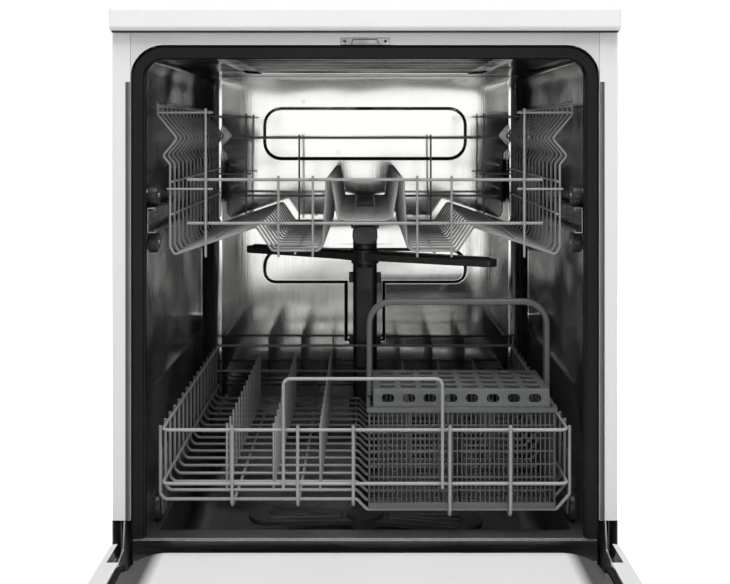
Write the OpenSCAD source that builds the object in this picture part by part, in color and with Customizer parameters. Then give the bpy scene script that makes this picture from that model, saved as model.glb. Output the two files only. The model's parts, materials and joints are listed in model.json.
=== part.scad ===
// Freestanding dishwasher, drawn with its door open and its racks in.
// The origin lies on the floor at the centre of the four feet. Front is -Y, up is +Z.

/* [Cabinet] */
// Width of the worktop
top_w = 600; // [598:1:640]
// Height from the floor to the top of the worktop
total_h = 850; // [845:1:900]
// Thickness of the worktop
top_t = 30; // [20:1:32]
// Overhang of the worktop in front of the side panels
top_overhang = 12; // [4:1:20]
// Radius of the worktop's front and rear edges
top_edge_r = 6; // [2:1:9]
// Width over the side panels
case_w = 598; // [598:1:612]
// Depth from the front flanges to the back
case_d = 550; // [548:1:580]
// Thickness of the painted sheet
sheet_t = 1; // [0.8:0.1:1.2]
// Width of the side panels' front flanges
flange_w = 21; // [20:1:22]
// Depth of the flanges' inner lips
flange_lip = 12; // [6:1:13]
// Height at which the front flanges end above the hinge
notch_z = 241; // [235:1:250]
// Set-back of the side panels below the front flanges
notch_d = 40; // [38:1:60]
// Height of the side panels' lower edge
panel_z = 30; // [24:1:40]
// Height of the rear panel
rear_h = 330; // [200:1:500]
// Set-back of the rear panel from the back
rear_set = 28; // [26:1:40]

/* [Base and feet] */
// Height of the base tray's underside
base_z = 18; // [16:1:24]
// Height of the base tray's wall
base_h = 42; // [30:1:50]
// Wall of the base tray
base_wall = 3; // [2:0.5:4]
// Radius of a foot's pad
foot_r = 19; // [16:1:24]
// Thickness of a foot's pad
foot_pad = 12; // [8:1:14]
// Radius of a foot's threaded stem
foot_stem_r = 4; // [3:0.5:5]
// Distance of the feet's middles from the side panels' outer faces
foot_side = 44; // [35:1:70]
// Distance from the front flanges to the front feet
foot_front_d = 60; // [52:1:90]
// Distance from the back to the rear feet
foot_back_d = 20; // [20:1:80]
// Set-back of the plinth
plinth_d = 35; // [32:1:38]
// Height of the plinth's upper edge
plinth_top = 118; // [90:1:122]
// Height of the plinth's lower edge
plinth_z = 20; // [14:1:60]

/* [Tub] */
// Distance between the tub's inner side wall and the side panel's outer face
tub_gap = 33; // [32:1:35]
// Distance of the tub's ceiling below the worktop
tub_drop = 27; // [24:1:40]
// Height of the tub's floor
tub_floor = 125; // [122:1:130]
// Height of the ledges and of the sill that the lower wheels roll on
track_z = 219; // [216:1:222]
// Width of a wheel ledge
ledge_w = 16; // [14:1:22]
// Depth of the tub's front edge behind the front flanges
tub_front = 14; // [14:0.5:16]
// Distance of the tub's back wall in front of the back
tub_back_gap = 55; // [45:1:65]
// Sheet thickness of the tub
tub_t = 1.5; // [0.8:0.1:2]
// Corner radius of the tub
tub_r = 25; // [15:1:35]
// Depth of the sill at the tub's mouth
sill_d = 28; // [24:1:40]
// Depth of the shapes stamped in the tub's walls
emboss = 3; // [1:0.5:4]
// Half of the width of the panels stamped in the back wall
emboss_hw = 172; // [120:1:200]
// Corner radius of the panels stamped in the back wall
emboss_r = 30; // [20:1:32]
// Distance of the upper stamped panels' upper edge below the ceiling
stamp_drop = 52; // [46:1:58]
// Height of the upper stamped panel in the back wall
stamp_h = 89; // [80:1:95]
// Height of the lower stamped panel's upper edge
apron_high = 502; // [490:1:510]
// Height at which the lower stamped panel narrows
apron_low = 443; // [430:1:445]
// Height of the lower stamped panel's foot
stem_low = 345; // [330:1:360]
// Half of the width of the lower stamped panel's foot
stem_hw = 34; // [28:1:40]
// Depth of the front ends of the panels stamped in the side walls
side_stamp_d0 = 70; // [50:1:90]
// Depth of the rear ends of the panels stamped in the side walls
side_stamp_d1 = 440; // [400:1:460]

/* [Seal and front frame] */
// Width of the seal round the mouth
seal_w = 16.7; // [14:0.1:17]
// Radius of the seal's outer corners
seal_r = 39; // [30:1:48]
// Distance of the seal's outer upper edge below the worktop
seal_drop = 16; // [14:1:20]
// Height of the front projection of the seal's bulb
seal_bulb = 4; // [2:0.5:5]
// Thickness of the seal's lip in front of the sill
lip_t = 2.5; // [2:0.5:4]
// Half of the width of the latch opening
latch_hw = 29; // [26:1:40]

/* [Door] */
// Distance of the door's sides inside the side panels' outer faces
door_side = 1; // [1:0.5:2]
// Thickness of the door
door_t = 50; // [48:1:56]
// Gap between the closed door and the worktop
door_gap = 5; // [4:1:9]
// Distance from the hinge axis to the door's lower edge
door_tail = 45; // [30:1:48]
// Distance of the hinge axis in front of the flanges
hinge_out = 25; // [25:0.5:27]
// Height of the hinge axis above the floor
hinge_z = 195; // [194:0.5:196]
// Distance of the inner panel's sides inside the side panels' front flanges
liner_side = 10.5; // [10:0.5:12]
// Depth of the field pressed in the inner panel
liner_field = 5; // [2:0.5:8]
// Height of the control panel
fascia_h = 115; // [100:1:130]
// Wall of the control panel's moulding
fascia_t = 3; // [2.5:0.5:4]
// Width of the grip recess
grip_w = 190; // [140:1:210]
// Depth of the grip recess
grip_d = 26; // [18:1:32]
// Radius of the hinge pins
hinge_pin_r = 4; // [3:0.5:5]
// Distance of the hinge plates inside the side panels' outer faces
hinge_side = 15; // [15:0.5:16]
// Distance from the hinge axis to the front end of the door's side lips
lip_end = 17; // [0:1:18]

/* [Dispenser] */
// Width of the dispenser
disp_w = 220; // [216:1:240]
// Height of the dispenser
disp_h = 105; // [96:1:120]
// Distance from the hinge axis to the dispenser's near edge
disp_y = 285; // [260:1:320]
// Place of the dispenser's left end
disp_x = -180; // [-200:1:-160]
// Width of the detergent cup
cup_w = 68; // [50:1:70]
// Radius of the rinse-aid cap
rinse_r = 16; // [12:1:18]

/* [Buttons] */
// Travel of a button
button_travel = 2; // [1:0.5:3]
// Width of a programme button
button_w = 22; // [14:1:26]
// Height of a programme button
button_h = 9; // [7:1:14]
// Radius of the power button
power_r = 9; // [7:0.5:12]

/* [Upper rack] */
// Diameter of the thick wires
wire_d = 4; // [3.5:0.1:4.5]
// Diameter of the thin wires
thin_d = 3; // [2.5:0.1:3.4]
// Least distance of the upper rack's last cross wire from the tub's back wall
upper_clear = 50; // [40:1:90]
// Spacing of the cross wires
upper_pitch = 28; // [18:1:28]
// Depth of the first cross wire
upper_front = 46; // [44:1:50]
// Distance of the upper rack's side wires from the rails
rail_gap = 10.3; // [9.5:0.1:14]
// Height of the upper rack's rim above the middle of the rails
rim_up = 140.5; // [125:0.5:149]
// Height of the rails' middle above the upper rack's floor
floor_down = 40.5; // [36:0.5:43]
// Height of the upper rack's tines above its floor
tine_h = 89; // [75:1:105]
// Distance of the rim outside the basket's side wires
rim_out = 15; // [12:1:15]
// Height of the kink in the side wires above the middle of the rails
kink_up = 97.5; // [90:0.5:104]
// Place of the floor's ridge
ridge_x = 134; // [128:1:140]
// Height of the floor's ridge above the floor
ridge_h = 29.5; // [24:0.5:34]
// Place of the outer end of the floor's valley
valley_x1 = 114; // [110:1:120]
// Place of the inner end of the floor's valley
valley_x0 = 58; // [55:1:62]
// Height of the floor's middle above the valleys
middle_h = 37; // [34:1:37]
// Height of the front grid's lower wire above the floor
grid_low = 34; // [31:0.5:35]
// Height of the front grid's upper wire above the floor
grid_high = 87.5; // [81:0.5:95]
// Height of the rear grid's lower wire above the floor
rear_low = 40; // [37:0.5:43]
// Height of the rear grid's upper wire above the floor
rear_high = 135; // [105:0.5:145]
// Distance of the ends of a grid's long wires inside the side wires
grid_side = 22; // [18:1:28]
// Distance of a grid's outer upright inside the side wires
post_side = 45; // [35:1:48]
// Place of the front grid's middle upright
grid_mid = 106; // [98:1:112]
// Place of the front grid's inner upright
grid_in = 64; // [60:1:72]
// Height of the short wires that tie the side wires, above the floor
tie_low = 76; // [71:1:77]
// Height of the short wires that tie the rim, above the floor
tie_high = 170; // [168:1:173]

/* [Rails and rollers] */
// Distance of the middle of the rails below the tub's ceiling
rail_drop = 197.5; // [196:0.5:199]
// Height of a rail
rail_h = 31; // [29:0.5:33]
// Width of a rail
rail_w = 10; // [9:0.5:10]
// Distance of the rails' rear ends from the tub's back wall
rail_back = 65; // [55:1:85]
// Depth of the rails' front ends
rail_front = 10; // [8:1:14]
// Thickness of the rails' sheet
rail_t = 1.5; // [1:0.1:1.6]
// Radius of the guide rollers in the tub
roller_r = 12.7; // [10:0.1:14]
// Depth of the guide rollers
roller_d = 35; // [30:1:45]
// Depth of the upper rack's front wheels
rack_wheel_1 = 255; // [240:1:270]
// Distance of the upper rack's rear wheels from the rails' rear ends
wheel_back = 16; // [16:1:40]
// Running clearance of wheels and pins
run_gap = 0.3; // [0.2:0.05:0.4]

/* [Spray arms] */
// Depth of the spray arms' axis
spray_d = 260; // [250:1:275]
// Half of the upper arm's length
upper_arm_l = 197; // [160:1:215]
// Distance of the upper arm's middle below the upper rack's floor
arm_drop = 34; // [32:1:36]
// Half of the lower arm's length
lower_arm_l = 170; // [160:1:212]
// Height of the lower arm's middle
lower_arm_z = 141; // [141:1:160]
// Angle at which the upper arm stands
upper_arm_a = -24; // [-180:1:180]
// Angle at which the lower arm stands
lower_arm_a = -5; // [-180:1:180]

/* [Lower rack] */
// Distance of the lower rack's sides from its wheels
carrier_w = 6.3; // [6.3:0.1:9.3]
// Height of the lower rack's rim
lower_rim = 346; // [330:1:360]
// Height of the lower rack's floor
lower_floor = 260; // [258:1:264]
// Height of the floor under the cutlery basket
lower_dip = 248; // [247:1:250]
// Depth of the first cross wire
lower_front = 18; // [16:1:24]
// Least distance of the lower rack's last cross wire from the tub's back wall
lower_clear = 40; // [30:1:90]
// Spacing of the cross wires
lower_pitch = 29; // [20:1:29]
// Height of the plate tines above the floor wires
lower_tine_h = 80; // [50:1:100]
// Place of the outermost row of tines on the left
tine_left = -170; // [-180:1:-168]
// Place of the innermost row of tines on the right
tine_right = 60; // [54:1:64]
// Spacing of the rows of tines
tine_pitch = 57.5; // [50:0.5:58]
// Height of the front rim's lower wire above the floor wires
rim_low = 22; // [18:1:26]
// Width of the bends at the front corners of the rim
rim_bend = 10; // [8:1:20]
// Left side of the hand loop
loop_x0 = -97; // [-110:1:-90]
// Right side of the hand loop
loop_x1 = 92; // [86:1:100]
// Height of the hand loop above the rim
loop_h = 62; // [50:1:70]
// Size of the hand loop's bends
loop_bend = 9; // [7:1:16]
// Place of the outer left runner
runner_1 = -158; // [-200:1:-150]
// Place of the middle left runner
runner_2 = -80; // [-90:1:-70]
// Place of the inner left runner
runner_3 = -14; // [-24:1:-13]
// Place of the inner right runner
runner_4 = 101; // [80:1:110]
// Place of the outer right runner
runner_5 = 173; // [150:1:190]
// Size of the bends at the foot of the lower rack's side wires
foot_bend = 6; // [5:0.5:10]
// Radius of the lower wheels
wheel_r = 17; // [14:0.5:17]
// Width of the lower wheels
wheel_w = 8; // [6:0.5:8]
// Depth of the lower rack's front wheels
wheel_front_d = 60; // [45:1:90]
// Distance of the lower rear wheels from the tub's back wall
wheel_rear = 105; // [75:1:195]

/* [Cutlery basket] */
// Distance of the cutlery basket inside the rack's right side
cutlery_side = 18; // [18:1:42]
// Depth of the cutlery basket
cutlery_d = 100; // [80:1:130]
// Height of the cutlery basket's rim
cutlery_rim = 372; // [360:1:380]
// Place of the cutlery basket's left side
cutlery_x = 4; // [2:1:10]
// Distance of the cutlery basket behind the front flanges
cutlery_front = 12; // [10:1:20]
// Distance of the top of the basket's handle below the upper arm's middle
handle_drop = 28; // [25:1:60]
// Width of the handle's band
handle_band = 7; // [5:0.5:9]
// Gap at each end of the basket's lid
lid_gap = 1; // [0.8:0.1:2]
// Wall of the basket
cutlery_wall = 2.4; // [2:0.2:3]
// Number of columns of slots in a long wall
cutlery_cols = 20; // [8:1:24]
// Number of rows of slots
cutlery_rows = 7; // [3:1:8]

/* [Water and power] */
// Radius of the sump
sump_r = 72; // [60:1:80]
// Depth of the sump below the tub
sump_h = 62; // [50:1:64]
// Depth of the filter's middle behind the front flanges
filter_d = 150; // [140:1:170]
// Radius of the filter cup
filter_r = 38; // [30:1:44]
// Distance of the salt opening from the middle
salt_x = 185; // [180:1:195]
// Depth of the salt opening
salt_d = 120; // [100:1:130]
// Radius of the salt opening
salt_r = 24; // [18:1:26]
// Radius of the circulation pump
pump_r = 29; // [20:1:30]
// Length of the circulation pump
pump_l = 120; // [80:1:150]
// Radius of the inlet thread
inlet_r = 13.2; // [10:0.1:14]
// Length of the inlet thread
inlet_l = 12; // [8:1:16]
// Radius of the drain spigot
drain_r = 9.5; // [8:0.5:11]
// Length of the drain spigot
drain_l = 25; // [15:1:40]
// Distance of the inlet thread from the side panel
inlet_side = 64; // [50:1:99]
// Height of the inlet thread
inlet_z = 86; // [80:1:90]
// Distance of the drain spigot from the inlet thread
drain_gap = 70; // [55:1:95]
// Height of the drain spigot
drain_z = 86; // [80:1:90]
// Distance of the cable entry from the side panel
cable_side = 79; // [60:1:139]
// Height of the cable entry
cable_z = 90; // [88:1:94]
// Depth of the front of the air break chamber
chamber_d0 = 120; // [90:1:160]
// Depth of the back of the air break chamber
chamber_d1 = 420; // [380:1:440]
// Height of the air break chamber's lower edge
chamber_z0 = 150; // [125:1:160]
// Height of the air break chamber's upper edge
chamber_z1 = 600; // [580:1:640]
// Width of the ribs between the air break chamber's water ways
chamber_rib = 12; // [8:1:16]
// Width of the rear feed tube
feed_w = 40; // [30:1:44]
// Depth of the rear feed tube
feed_t = 22; // [14:1:26]

/* [Hidden] */

// Fits between pieces that rest on each other
seat = 0.3;
// The whole machine is placed from the feet
front_y = -(foot_front_d + (case_d - foot_back_d)) / 2;
back_y = front_y + case_d;
case_hw = case_w / 2;
top_z = total_h - top_t;
mouth_hw = case_hw - flange_w;
seal_hw = mouth_hw - seat;
seal_top = top_z - seal_drop;
foot_span_x = case_w - 2 * foot_side;
tub_hw = case_hw - tub_gap;
tub_top = top_z - tub_drop;
tub_back = case_d - tub_back_gap;
wall_out = tub_hw + tub_t;
rear_y = back_y - rear_set;
inlet_x = inlet_side - case_hw;
drain_x = inlet_x + drain_gap;
cable_x = case_hw - cable_side;
// The door hangs on its hinge and closes below the worktop
hinge_y = front_y - hinge_out;
hinge_x = case_hw - hinge_side;
door_hw = case_hw - door_side;
door_len = top_z - door_gap - hinge_z;
door_z = track_z;
door_out_z = door_z - door_t;
liner_hw = mouth_hw - liner_side;
fascia_end = hinge_y - door_len;
fascia_y = fascia_end + fascia_h;
// The racks fit between the rails and the wheels, which pass inside the seal
seal_pass = 0.7;
pass_hw = seal_hw - seal_w - seal_pass;
weld = 0.05;
thin_r = thin_d / 2;
wire_r = wire_d / 2;
rail_x = pass_hw - rail_w;
rail_z = tub_top - rail_drop;
rail_len = tub_back - rail_back - rail_front;
rack_wheel_2 = rail_front + rail_len - wheel_back;
upper_hw = rail_x - rail_gap;
upper_n = floor((tub_back - upper_clear - upper_front) / upper_pitch) + 1;
upper_rim = rail_z + rim_up;
upper_floor = rail_z - floor_down;
tine_top = upper_floor + tine_h;
kink_z = rail_z + kink_up;
grid_hw = upper_hw - grid_side;
grid_post = upper_hw - post_side;
wheel_x0 = pass_hw - wheel_w;
lower_hw = wheel_x0 - carrier_w;
lower_n = floor((tub_back - lower_clear - lower_front) / lower_pitch) + 1;
wheel_rear_d = tub_back - wheel_rear;
spray_y = front_y + spray_d;
spray_pin_r = 9;
upper_arm_z = upper_floor - arm_drop;
duct_z = upper_arm_z + 30.5;
cutlery_w = lower_hw - cutlery_side - cutlery_x;
cutlery_handle = upper_arm_z - handle_drop;
white = "#ebeeec";
steel = "#b9bcbd";
black = "#19191a";
grey = "#959892";

function arc(cx, cy, r, a0, a1, n) = [for (i = [0 : n]) [cx + r * cos(a0 + (a1 - a0) * i / n), cy + r *
  sin(a0 + (a1 - a0) * i / n)]];
// Outline of a box with round corners
function round_box(x0, y0, x1, y1, r) = concat(arc(x1 - r, y1 - r, r, 0, 90, 6),
  arc(x0 + r, y1 - r, r, 90, 180, 6), arc(x0 + r, y0 + r, r, 180, 270, 6),
  arc(x1 - r, y0 + r, r, 270, 360, 6));
// Outline of an opening with square feet and round upper corners
function arch(hw, z0, z1, r) = concat([[-hw, z0], [hw, z0]], arc(hw - r, z1 - r, r, 0, 90, 8),
  arc(r - hw, z1 - r, r, 90, 180, 8));
// Outline of a trough with square upper corners and round lower ones
function trough(hw, z0, z1, r) = concat([[hw, z1], [-hw, z1]], arc(r - hw, z0 + r, r, 180, 270, 6),
  arc(hw - r, z0 + r, r, 270, 360, 6));

module along_x(x0, x1) { translate([x0, 0, 0]) rotate([90, 0, 90]) linear_extrude(x1 - x0) children(); }
module along_y(y0, y1) { translate([0, y1, 0]) rotate([90, 0, 0]) linear_extrude(y1 - y0) children(); }
module along_z(z0, z1) { translate([0, 0, z0]) linear_extrude(z1 - z0) children(); }
module block(x0, x1, y0, y1, z0, z1) { translate([x0, y0, z0]) cube([x1 - x0, y1 - y0, z1 - z0]); }
module both_sides() { children(); mirror([1, 0, 0]) children(); }
module pin_x(x0, x1, y, z, r) { translate([x0, y, z]) rotate([0, 90, 0])
  cylinder(r = r, h = x1 - x0, $fn = 48); }
module pin_y(x, y0, y1, z, r) { translate([x, y1, z]) rotate([90, 0, 0])
  cylinder(r = r, h = y1 - y0, $fn = 48); }

// A bent wire is one tube: each ring lies in the plane that halves the bend
function unit(v) = v / norm(v);
function turn_in(path, i) = unit(path[max(i, 1)] - path[max(i, 1) - 1]);
function turn_out(path, i) = unit(path[min(i, len(path) - 2) + 1] - path[min(i, len(path) - 2)]);
function ring(path, i, r, n, sides) =
  let (t = unit(turn_in(path, i) + turn_out(path, i)), m = cross(n, t), w = r / (t * turn_in(path, i)))
  [for (k = [0 : sides - 1]) path[i] + m * w * cos(360 * (k + 0.5) / sides) + n * r *
    sin(360 * (k + 0.5) / sides)];
module wire(path, n, r, sides = 6) {
  count = len(path);
  pts = [for (i = [0 : count - 1]) for (p = ring(path, i, r, n, sides)) p];
  last = (count - 1) * sides;
  faces = concat([[for (k = [0 : sides - 1]) k]], [[for (k = [sides - 1 : -1 : 0]) last + k]],
    [for (i = [0 : count - 2]) for (k = [0 : sides - 1]) [i * sides + k, (i + 1) * sides + k, (i + 1) *
    sides + (k + 1) % sides, i * sides + (k + 1) % sides]]);
  polyhedron(pts, faces);
}
// A bent wire with two square bends: straight stretches, and a short piece round each bend
module hoop(path, n, r, e) {
  for (i = [0 : len(path) - 2]) {
    a = path[i] + turn_out(path, i) * (i > 0 ? e + weld : 0);
    b = path[i + 1] - turn_in(path, i + 1) * (i < len(path) - 2 ? e + weld : 0);
    v = b - a;
    translate(a) rotate([0, acos(v[2] / norm(v)), atan2(v[1], v[0])])
      cylinder(r = r, h = norm(v), $fn = 24);
  }
  for (i = [1 : len(path) - 2]) wire([path[i] - turn_in(path, i) * e, path[i] - turn_in(path, i) * e * 0.4,
    path[i] + turn_out(path, i) * e * 0.4, path[i] + turn_out(path, i) * e], n, r);
}
module rod_x(x0, x1, y, z, r) { translate([x0, y, z]) rotate([0, 90, 0])
  cylinder(r = r, h = x1 - x0, $fn = 24); }
module rod_y(x, y0, y1, z, r) { translate([x, y1, z]) rotate([90, 0, 0])
  cylinder(r = r, h = y1 - y0, $fn = 24); }
// A standing wire with a rounded top
module tine(x, y, z0, z1, r) {
  translate([x, y, z0]) rotate_extrude($fn = 24)
    polygon(concat([[0, 0], [r, 0]], arc(0, z1 - z0 - r, r, 0, 60, 2), [[0, z1 - z0]]));
}

module worktop() {
  y0 = front_y - top_overhang;
  color(white) along_x(-top_w / 2, top_w / 2) polygon(round_box(y0, top_z, back_y, total_h, top_edge_r));
}
module side_panel() {
  x1 = case_hw;
  x0 = case_hw - sheet_t;
  color(white) {
    along_z(notch_z, top_z - seat) polygon([[x1, front_y], [x1, back_y], [x1 - flange_w, back_y],
      [x1 - flange_w, back_y - sheet_t], [x0, back_y - sheet_t], [x0, front_y + sheet_t],
      [x1 - flange_w + sheet_t, front_y + sheet_t], [x1 - flange_w + sheet_t, front_y + flange_lip],
      [x1 - flange_w, front_y + flange_lip], [x1 - flange_w, front_y]]);
    along_z(panel_z, notch_z) polygon([[x1, front_y + notch_d], [x1, back_y], [x1 - flange_w, back_y],
      [x1 - flange_w, back_y - sheet_t], [x0, back_y - sheet_t], [x0, front_y + notch_d]]);
  }
}
module left_side_panel() mirror([1, 0, 0]) side_panel();
module right_side_panel() side_panel();
module rear_panel() {
  y1 = rear_y;
  hw = case_hw - sheet_t - seat;
  z0 = base_z + base_h + seat;
  color("#c9ccca") difference() {
    union() {
      block(-hw, hw, y1 - sheet_t, y1, z0, rear_h);
      block(-hw, hw, y1 - flange_lip, y1, rear_h - sheet_t, rear_h);
      // Ribs pressed in the sheet
      for (x = [-100, 0, 100]) along_y(y1 - sheet_t - emboss, y1 - sheet_t)
        polygon(round_box(x - 12, z0 + 60, x + 12, rear_h - 30, 11));
    }
    pin_y(inlet_x, y1 - 20, y1 + 1, inlet_z, inlet_r + 3);
    pin_y(drain_x, y1 - 20, y1 + 1, drain_z, drain_r + 3);
    block(cable_x - 22, cable_x + 22, y1 - 20, y1 + 1, cable_z - 17, cable_z + 17);
  }
}
module front_frame() {
  hw = mouth_hw - seat;
  color("#dcdfdd") {
    difference() {
      along_y(front_y, front_y + sheet_t) polygon(concat([[-hw, top_z - seat], [hw, top_z - seat]],
        [[hw, seal_top - seal_r - 4], [-hw, seal_top - seal_r - 4]]));
      along_y(front_y - 1, front_y + 2) polygon(arch(seal_hw + seat, 0, seal_top + seat, seal_r));
      block(-latch_hw, latch_hw, front_y - 1, front_y + 2, seal_top, top_z - 7);
    }
    block(-hw, hw, front_y + sheet_t, front_y + 25, top_z - seat - sheet_t, top_z - seat);
    block(-hw, hw, front_y + 25 - sheet_t, front_y + 25, top_z - 14, top_z - seat - sheet_t);
  }
}
module latch_striker() {
  hw = latch_hw - seat;
  z0 = seal_top + 2 * seat;
  z1 = top_z - 7 - seat;
  color(steel) difference() {
    union() {
      along_y(front_y, front_y + sheet_t) polygon([[-hw, z0], [hw, z0], [hw, z1], [-hw, z1]]);
      // Pocket that the latch enters
      along_y(front_y + sheet_t, front_y + 15) polygon([[-20, z0], [20, z0], [16, z1], [-16, z1]]);
    }
    along_y(front_y - 1, front_y + 13.5) polygon([[-17, z0 + 1], [17, z0 + 1], [14, z1 - 1],
      [-14, z1 - 1]]);
    for (s = [-1, 1]) pin_y(s * (hw - 4.5), front_y - 1, front_y + 2, (z0 + z1) / 2, 1.6);
  }
}

module tub_outline(o) { polygon(arch(tub_hw + o, track_z - o, tub_top + o, tub_r + o)); }
module tub_plan(o) {
  y1 = front_y + tub_back + o;
  polygon(concat([[-tub_hw - o, front_y], [tub_hw + o, front_y]],
    arc(tub_hw - tub_r, y1 - tub_r - o, tub_r + o, 0, 90, 6), arc(tub_r - tub_hw, y1 - tub_r - o, tub_r +
    o, 90, 180, 6)));
}
// Shapes stamped outwards in the walls, grown by o
module tub_stamps(o) {
  yb = front_y + tub_back;
  along_y(yb - 1, yb + emboss + o) {
    polygon(round_box(-emboss_hw - o, tub_top - stamp_drop - stamp_h - o, emboss_hw + o, tub_top -
      stamp_drop + o, emboss_r + o));
    polygon(concat(arc(emboss_hw - emboss_r, apron_high - emboss_r, emboss_r + o, 0, 90, 6),
      arc(emboss_r - emboss_hw, apron_high - emboss_r, emboss_r + o, 90, 180, 6),
      arc(20 - emboss_hw, apron_low + 20, 20 + o, 180, 270, 4),
      [[-stem_hw - o, apron_low - o], [-stem_hw - o, stem_low - o], [stem_hw + o, stem_low - o],
      [stem_hw + o, apron_low - o]], arc(emboss_hw - 20, apron_low + 20, 20 + o, 270, 360, 4)));
  }
  y0 = front_y + side_stamp_d0 - o;
  y1 = front_y + side_stamp_d1 + o;
  along_z(tub_top - 1, tub_top + emboss + o) polygon(round_box(-190 - o, y0, 190 + o, y1 - 20, 30 + o));
  both_sides() along_x(tub_hw - 1, tub_hw + emboss + o) {
    polygon(round_box(y0, tub_top - stamp_drop - 86 - o, y1, tub_top - stamp_drop - 1 + o, 25 + o));
    polygon(round_box(y0, 380 - o, y1, 530 + o, 25 + o));
  }
}
module tub() {
  inner_hw = tub_hw - ledge_w;
  yb = front_y + tub_back;
  color(steel) difference() {
    union() {
      intersection() {
        along_y(front_y + tub_front, yb + tub_t) tub_outline(tub_t);
        along_z(0, total_h) tub_plan(tub_t);
      }
      tub_stamps(tub_t);
      // Basin below the ledges, and the sill in front of it
      along_y(front_y + sill_d - tub_t, yb + tub_t) polygon(trough(inner_hw + tub_t, tub_floor - tub_t,
        track_z, tub_r + tub_t));
      block(-tub_hw + seat, tub_hw - seat, front_y + lip_t + seat, front_y + sill_d, track_z - tub_t,
        track_z);
      // Flange behind the seal
      along_y(front_y + tub_front, front_y + tub_front + tub_t)
        polygon(arch(seal_hw, track_z, seal_top, seal_r));
    }
    intersection() {
      along_y(front_y, yb) tub_outline(0);
      along_z(track_z, total_h) tub_plan(0);
    }
    tub_stamps(0);
    along_y(front_y + sill_d, yb) polygon(trough(inner_hw, tub_floor, track_z + 1, tub_r));
    translate([0, front_y + filter_d, 0]) cylinder(r = sump_r - 12, h = tub_floor + 5, $fn = 72);
    translate([0, spray_y, 0]) cylinder(r = 14 + seat, h = tub_floor + 5, $fn = 48);
    translate([-salt_x, front_y + salt_d, 0]) cylinder(r = salt_r + 3, h = tub_floor + 5, $fn = 48);
  }
}
module tub_seal() {
  hw0 = seal_hw - seal_w;
  color(black) {
    difference() {
      along_y(front_y + seal_bulb, front_y + tub_front - seat)
        polygon(arch(seal_hw, track_z + seat, seal_top, seal_r));
      along_y(front_y, front_y + tub_front) polygon(arch(hw0, 0, seal_top - seal_w + 3, seal_r - seal_w +
        3));
    }
    difference() {
      along_y(front_y, front_y + seal_bulb) polygon(arch(seal_hw - 3, track_z + seat, seal_top - 3,
        seal_r - 3));
      along_y(front_y - 1, front_y + tub_front) polygon(arch(hw0 + 2, 0, seal_top - seal_w + 1, seal_r -
        seal_w + 1));
    }
    // Lip below the sill
    along_x(-mouth_hw + 2, mouth_hw - 2) polygon([[front_y + lip_t, track_z - 0.6],
      [front_y + 0.6, track_z - 1.2], [front_y + seat, track_z - 27], [front_y + 3, track_z - 31],
      [front_y + 6, track_z - 27], [front_y + 5, track_z - 14], [front_y + 14, track_z - tub_t - seat],
      [front_y + lip_t, track_z - tub_t - seat]]);
  }
}
module foot_places() {
  for (x = [-1, 1]) for (y = [front_y + foot_front_d, back_y - foot_back_d])
    translate([x * foot_span_x / 2, y, 0]) children();
}
module base_tray() {
  hw = case_hw - sheet_t - seat;
  y0 = front_y + notch_d + 2;
  y1 = back_y - sheet_t - seat;
  color("#3a3c3e") difference() {
    union() {
      difference() {
        block(-hw, hw, y0, y1, base_z, base_z + base_h);
        block(-hw + base_wall, hw - base_wall, y0 + base_wall, y1 - base_wall, base_z + base_wall, base_z +
          base_h + 1);
      }
      foot_places() translate([0, 0, base_z]) cylinder(r = foot_stem_r + 6, h = base_h - 4, $fn = 36);
      // Ribs that stiffen the floor and carry the pumps
      for (x = [-190, -60, 60, 190]) block(x - 1.5, x + 1.5, y0 + base_wall, y1 - base_wall, base_z +
        base_wall, base_z + 14);
    }
    foot_places() translate([0, 0, base_z - 1]) cylinder(r = foot_stem_r + run_gap / 2, h = base_h, $fn =
      36);
  }
}
module feet() {
  color(black) foot_places() {
    cylinder(r = foot_r, h = foot_pad, $fn = 48);
    translate([0, 0, foot_pad]) cylinder(r = foot_stem_r, h = base_z + base_h - 10 - foot_pad, $fn = 36);
  }
}
module plinth() {
  hw = case_hw - 6;
  y0 = front_y + plinth_d;
  y1 = front_y + notch_d + 2 - seat;
  color("#c9ccca") {
    along_z(plinth_z, plinth_top) polygon([[-hw, y0], [hw, y0], [hw, y1], [hw - 1.5, y1],
      [hw - 1.5, y0 + 1.5], [1.5 - hw, y0 + 1.5], [1.5 - hw, y1], [-hw, y1]]);
    for (z = [plinth_z, plinth_top - 1.5]) block(-hw + 1.5, hw - 1.5, y0 + 1.5, y1, z, z + 1.5);
  }
}
module sump() {
  z1 = tub_floor - tub_t - seat;
  z0 = z1 - sump_h;
  y = front_y + filter_d;
  color(black) difference() {
    union() {
      translate([0, y, z0]) cylinder(r = sump_r, h = sump_h, $fn = 72);
      // Neck that carries the lower spray arm
      along_z(z1 - 16, z1) polygon([[-20, y], [20, y], [20, spray_y + 20], [-20, spray_y + 20]]);
      translate([0, spray_y, z1 - 16]) cylinder(r = 14, h = lower_arm_z - 9 - z1 + 16, $fn = 48);
      translate([0, spray_y, z1 - 16]) cylinder(r = spray_pin_r, h = lower_arm_z + 3 - z1 + 16, $fn = 48);
      pin_x(sump_r - 15, sump_r + 14, y, z0 + 30, 15);
    }
    translate([0, y, z0 + 3]) cylinder(r = sump_r - 4, h = sump_h, $fn = 72);
    pin_x(sump_r - 20, sump_r + 15, y, z0 + 30, 12);
  }
}
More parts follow.
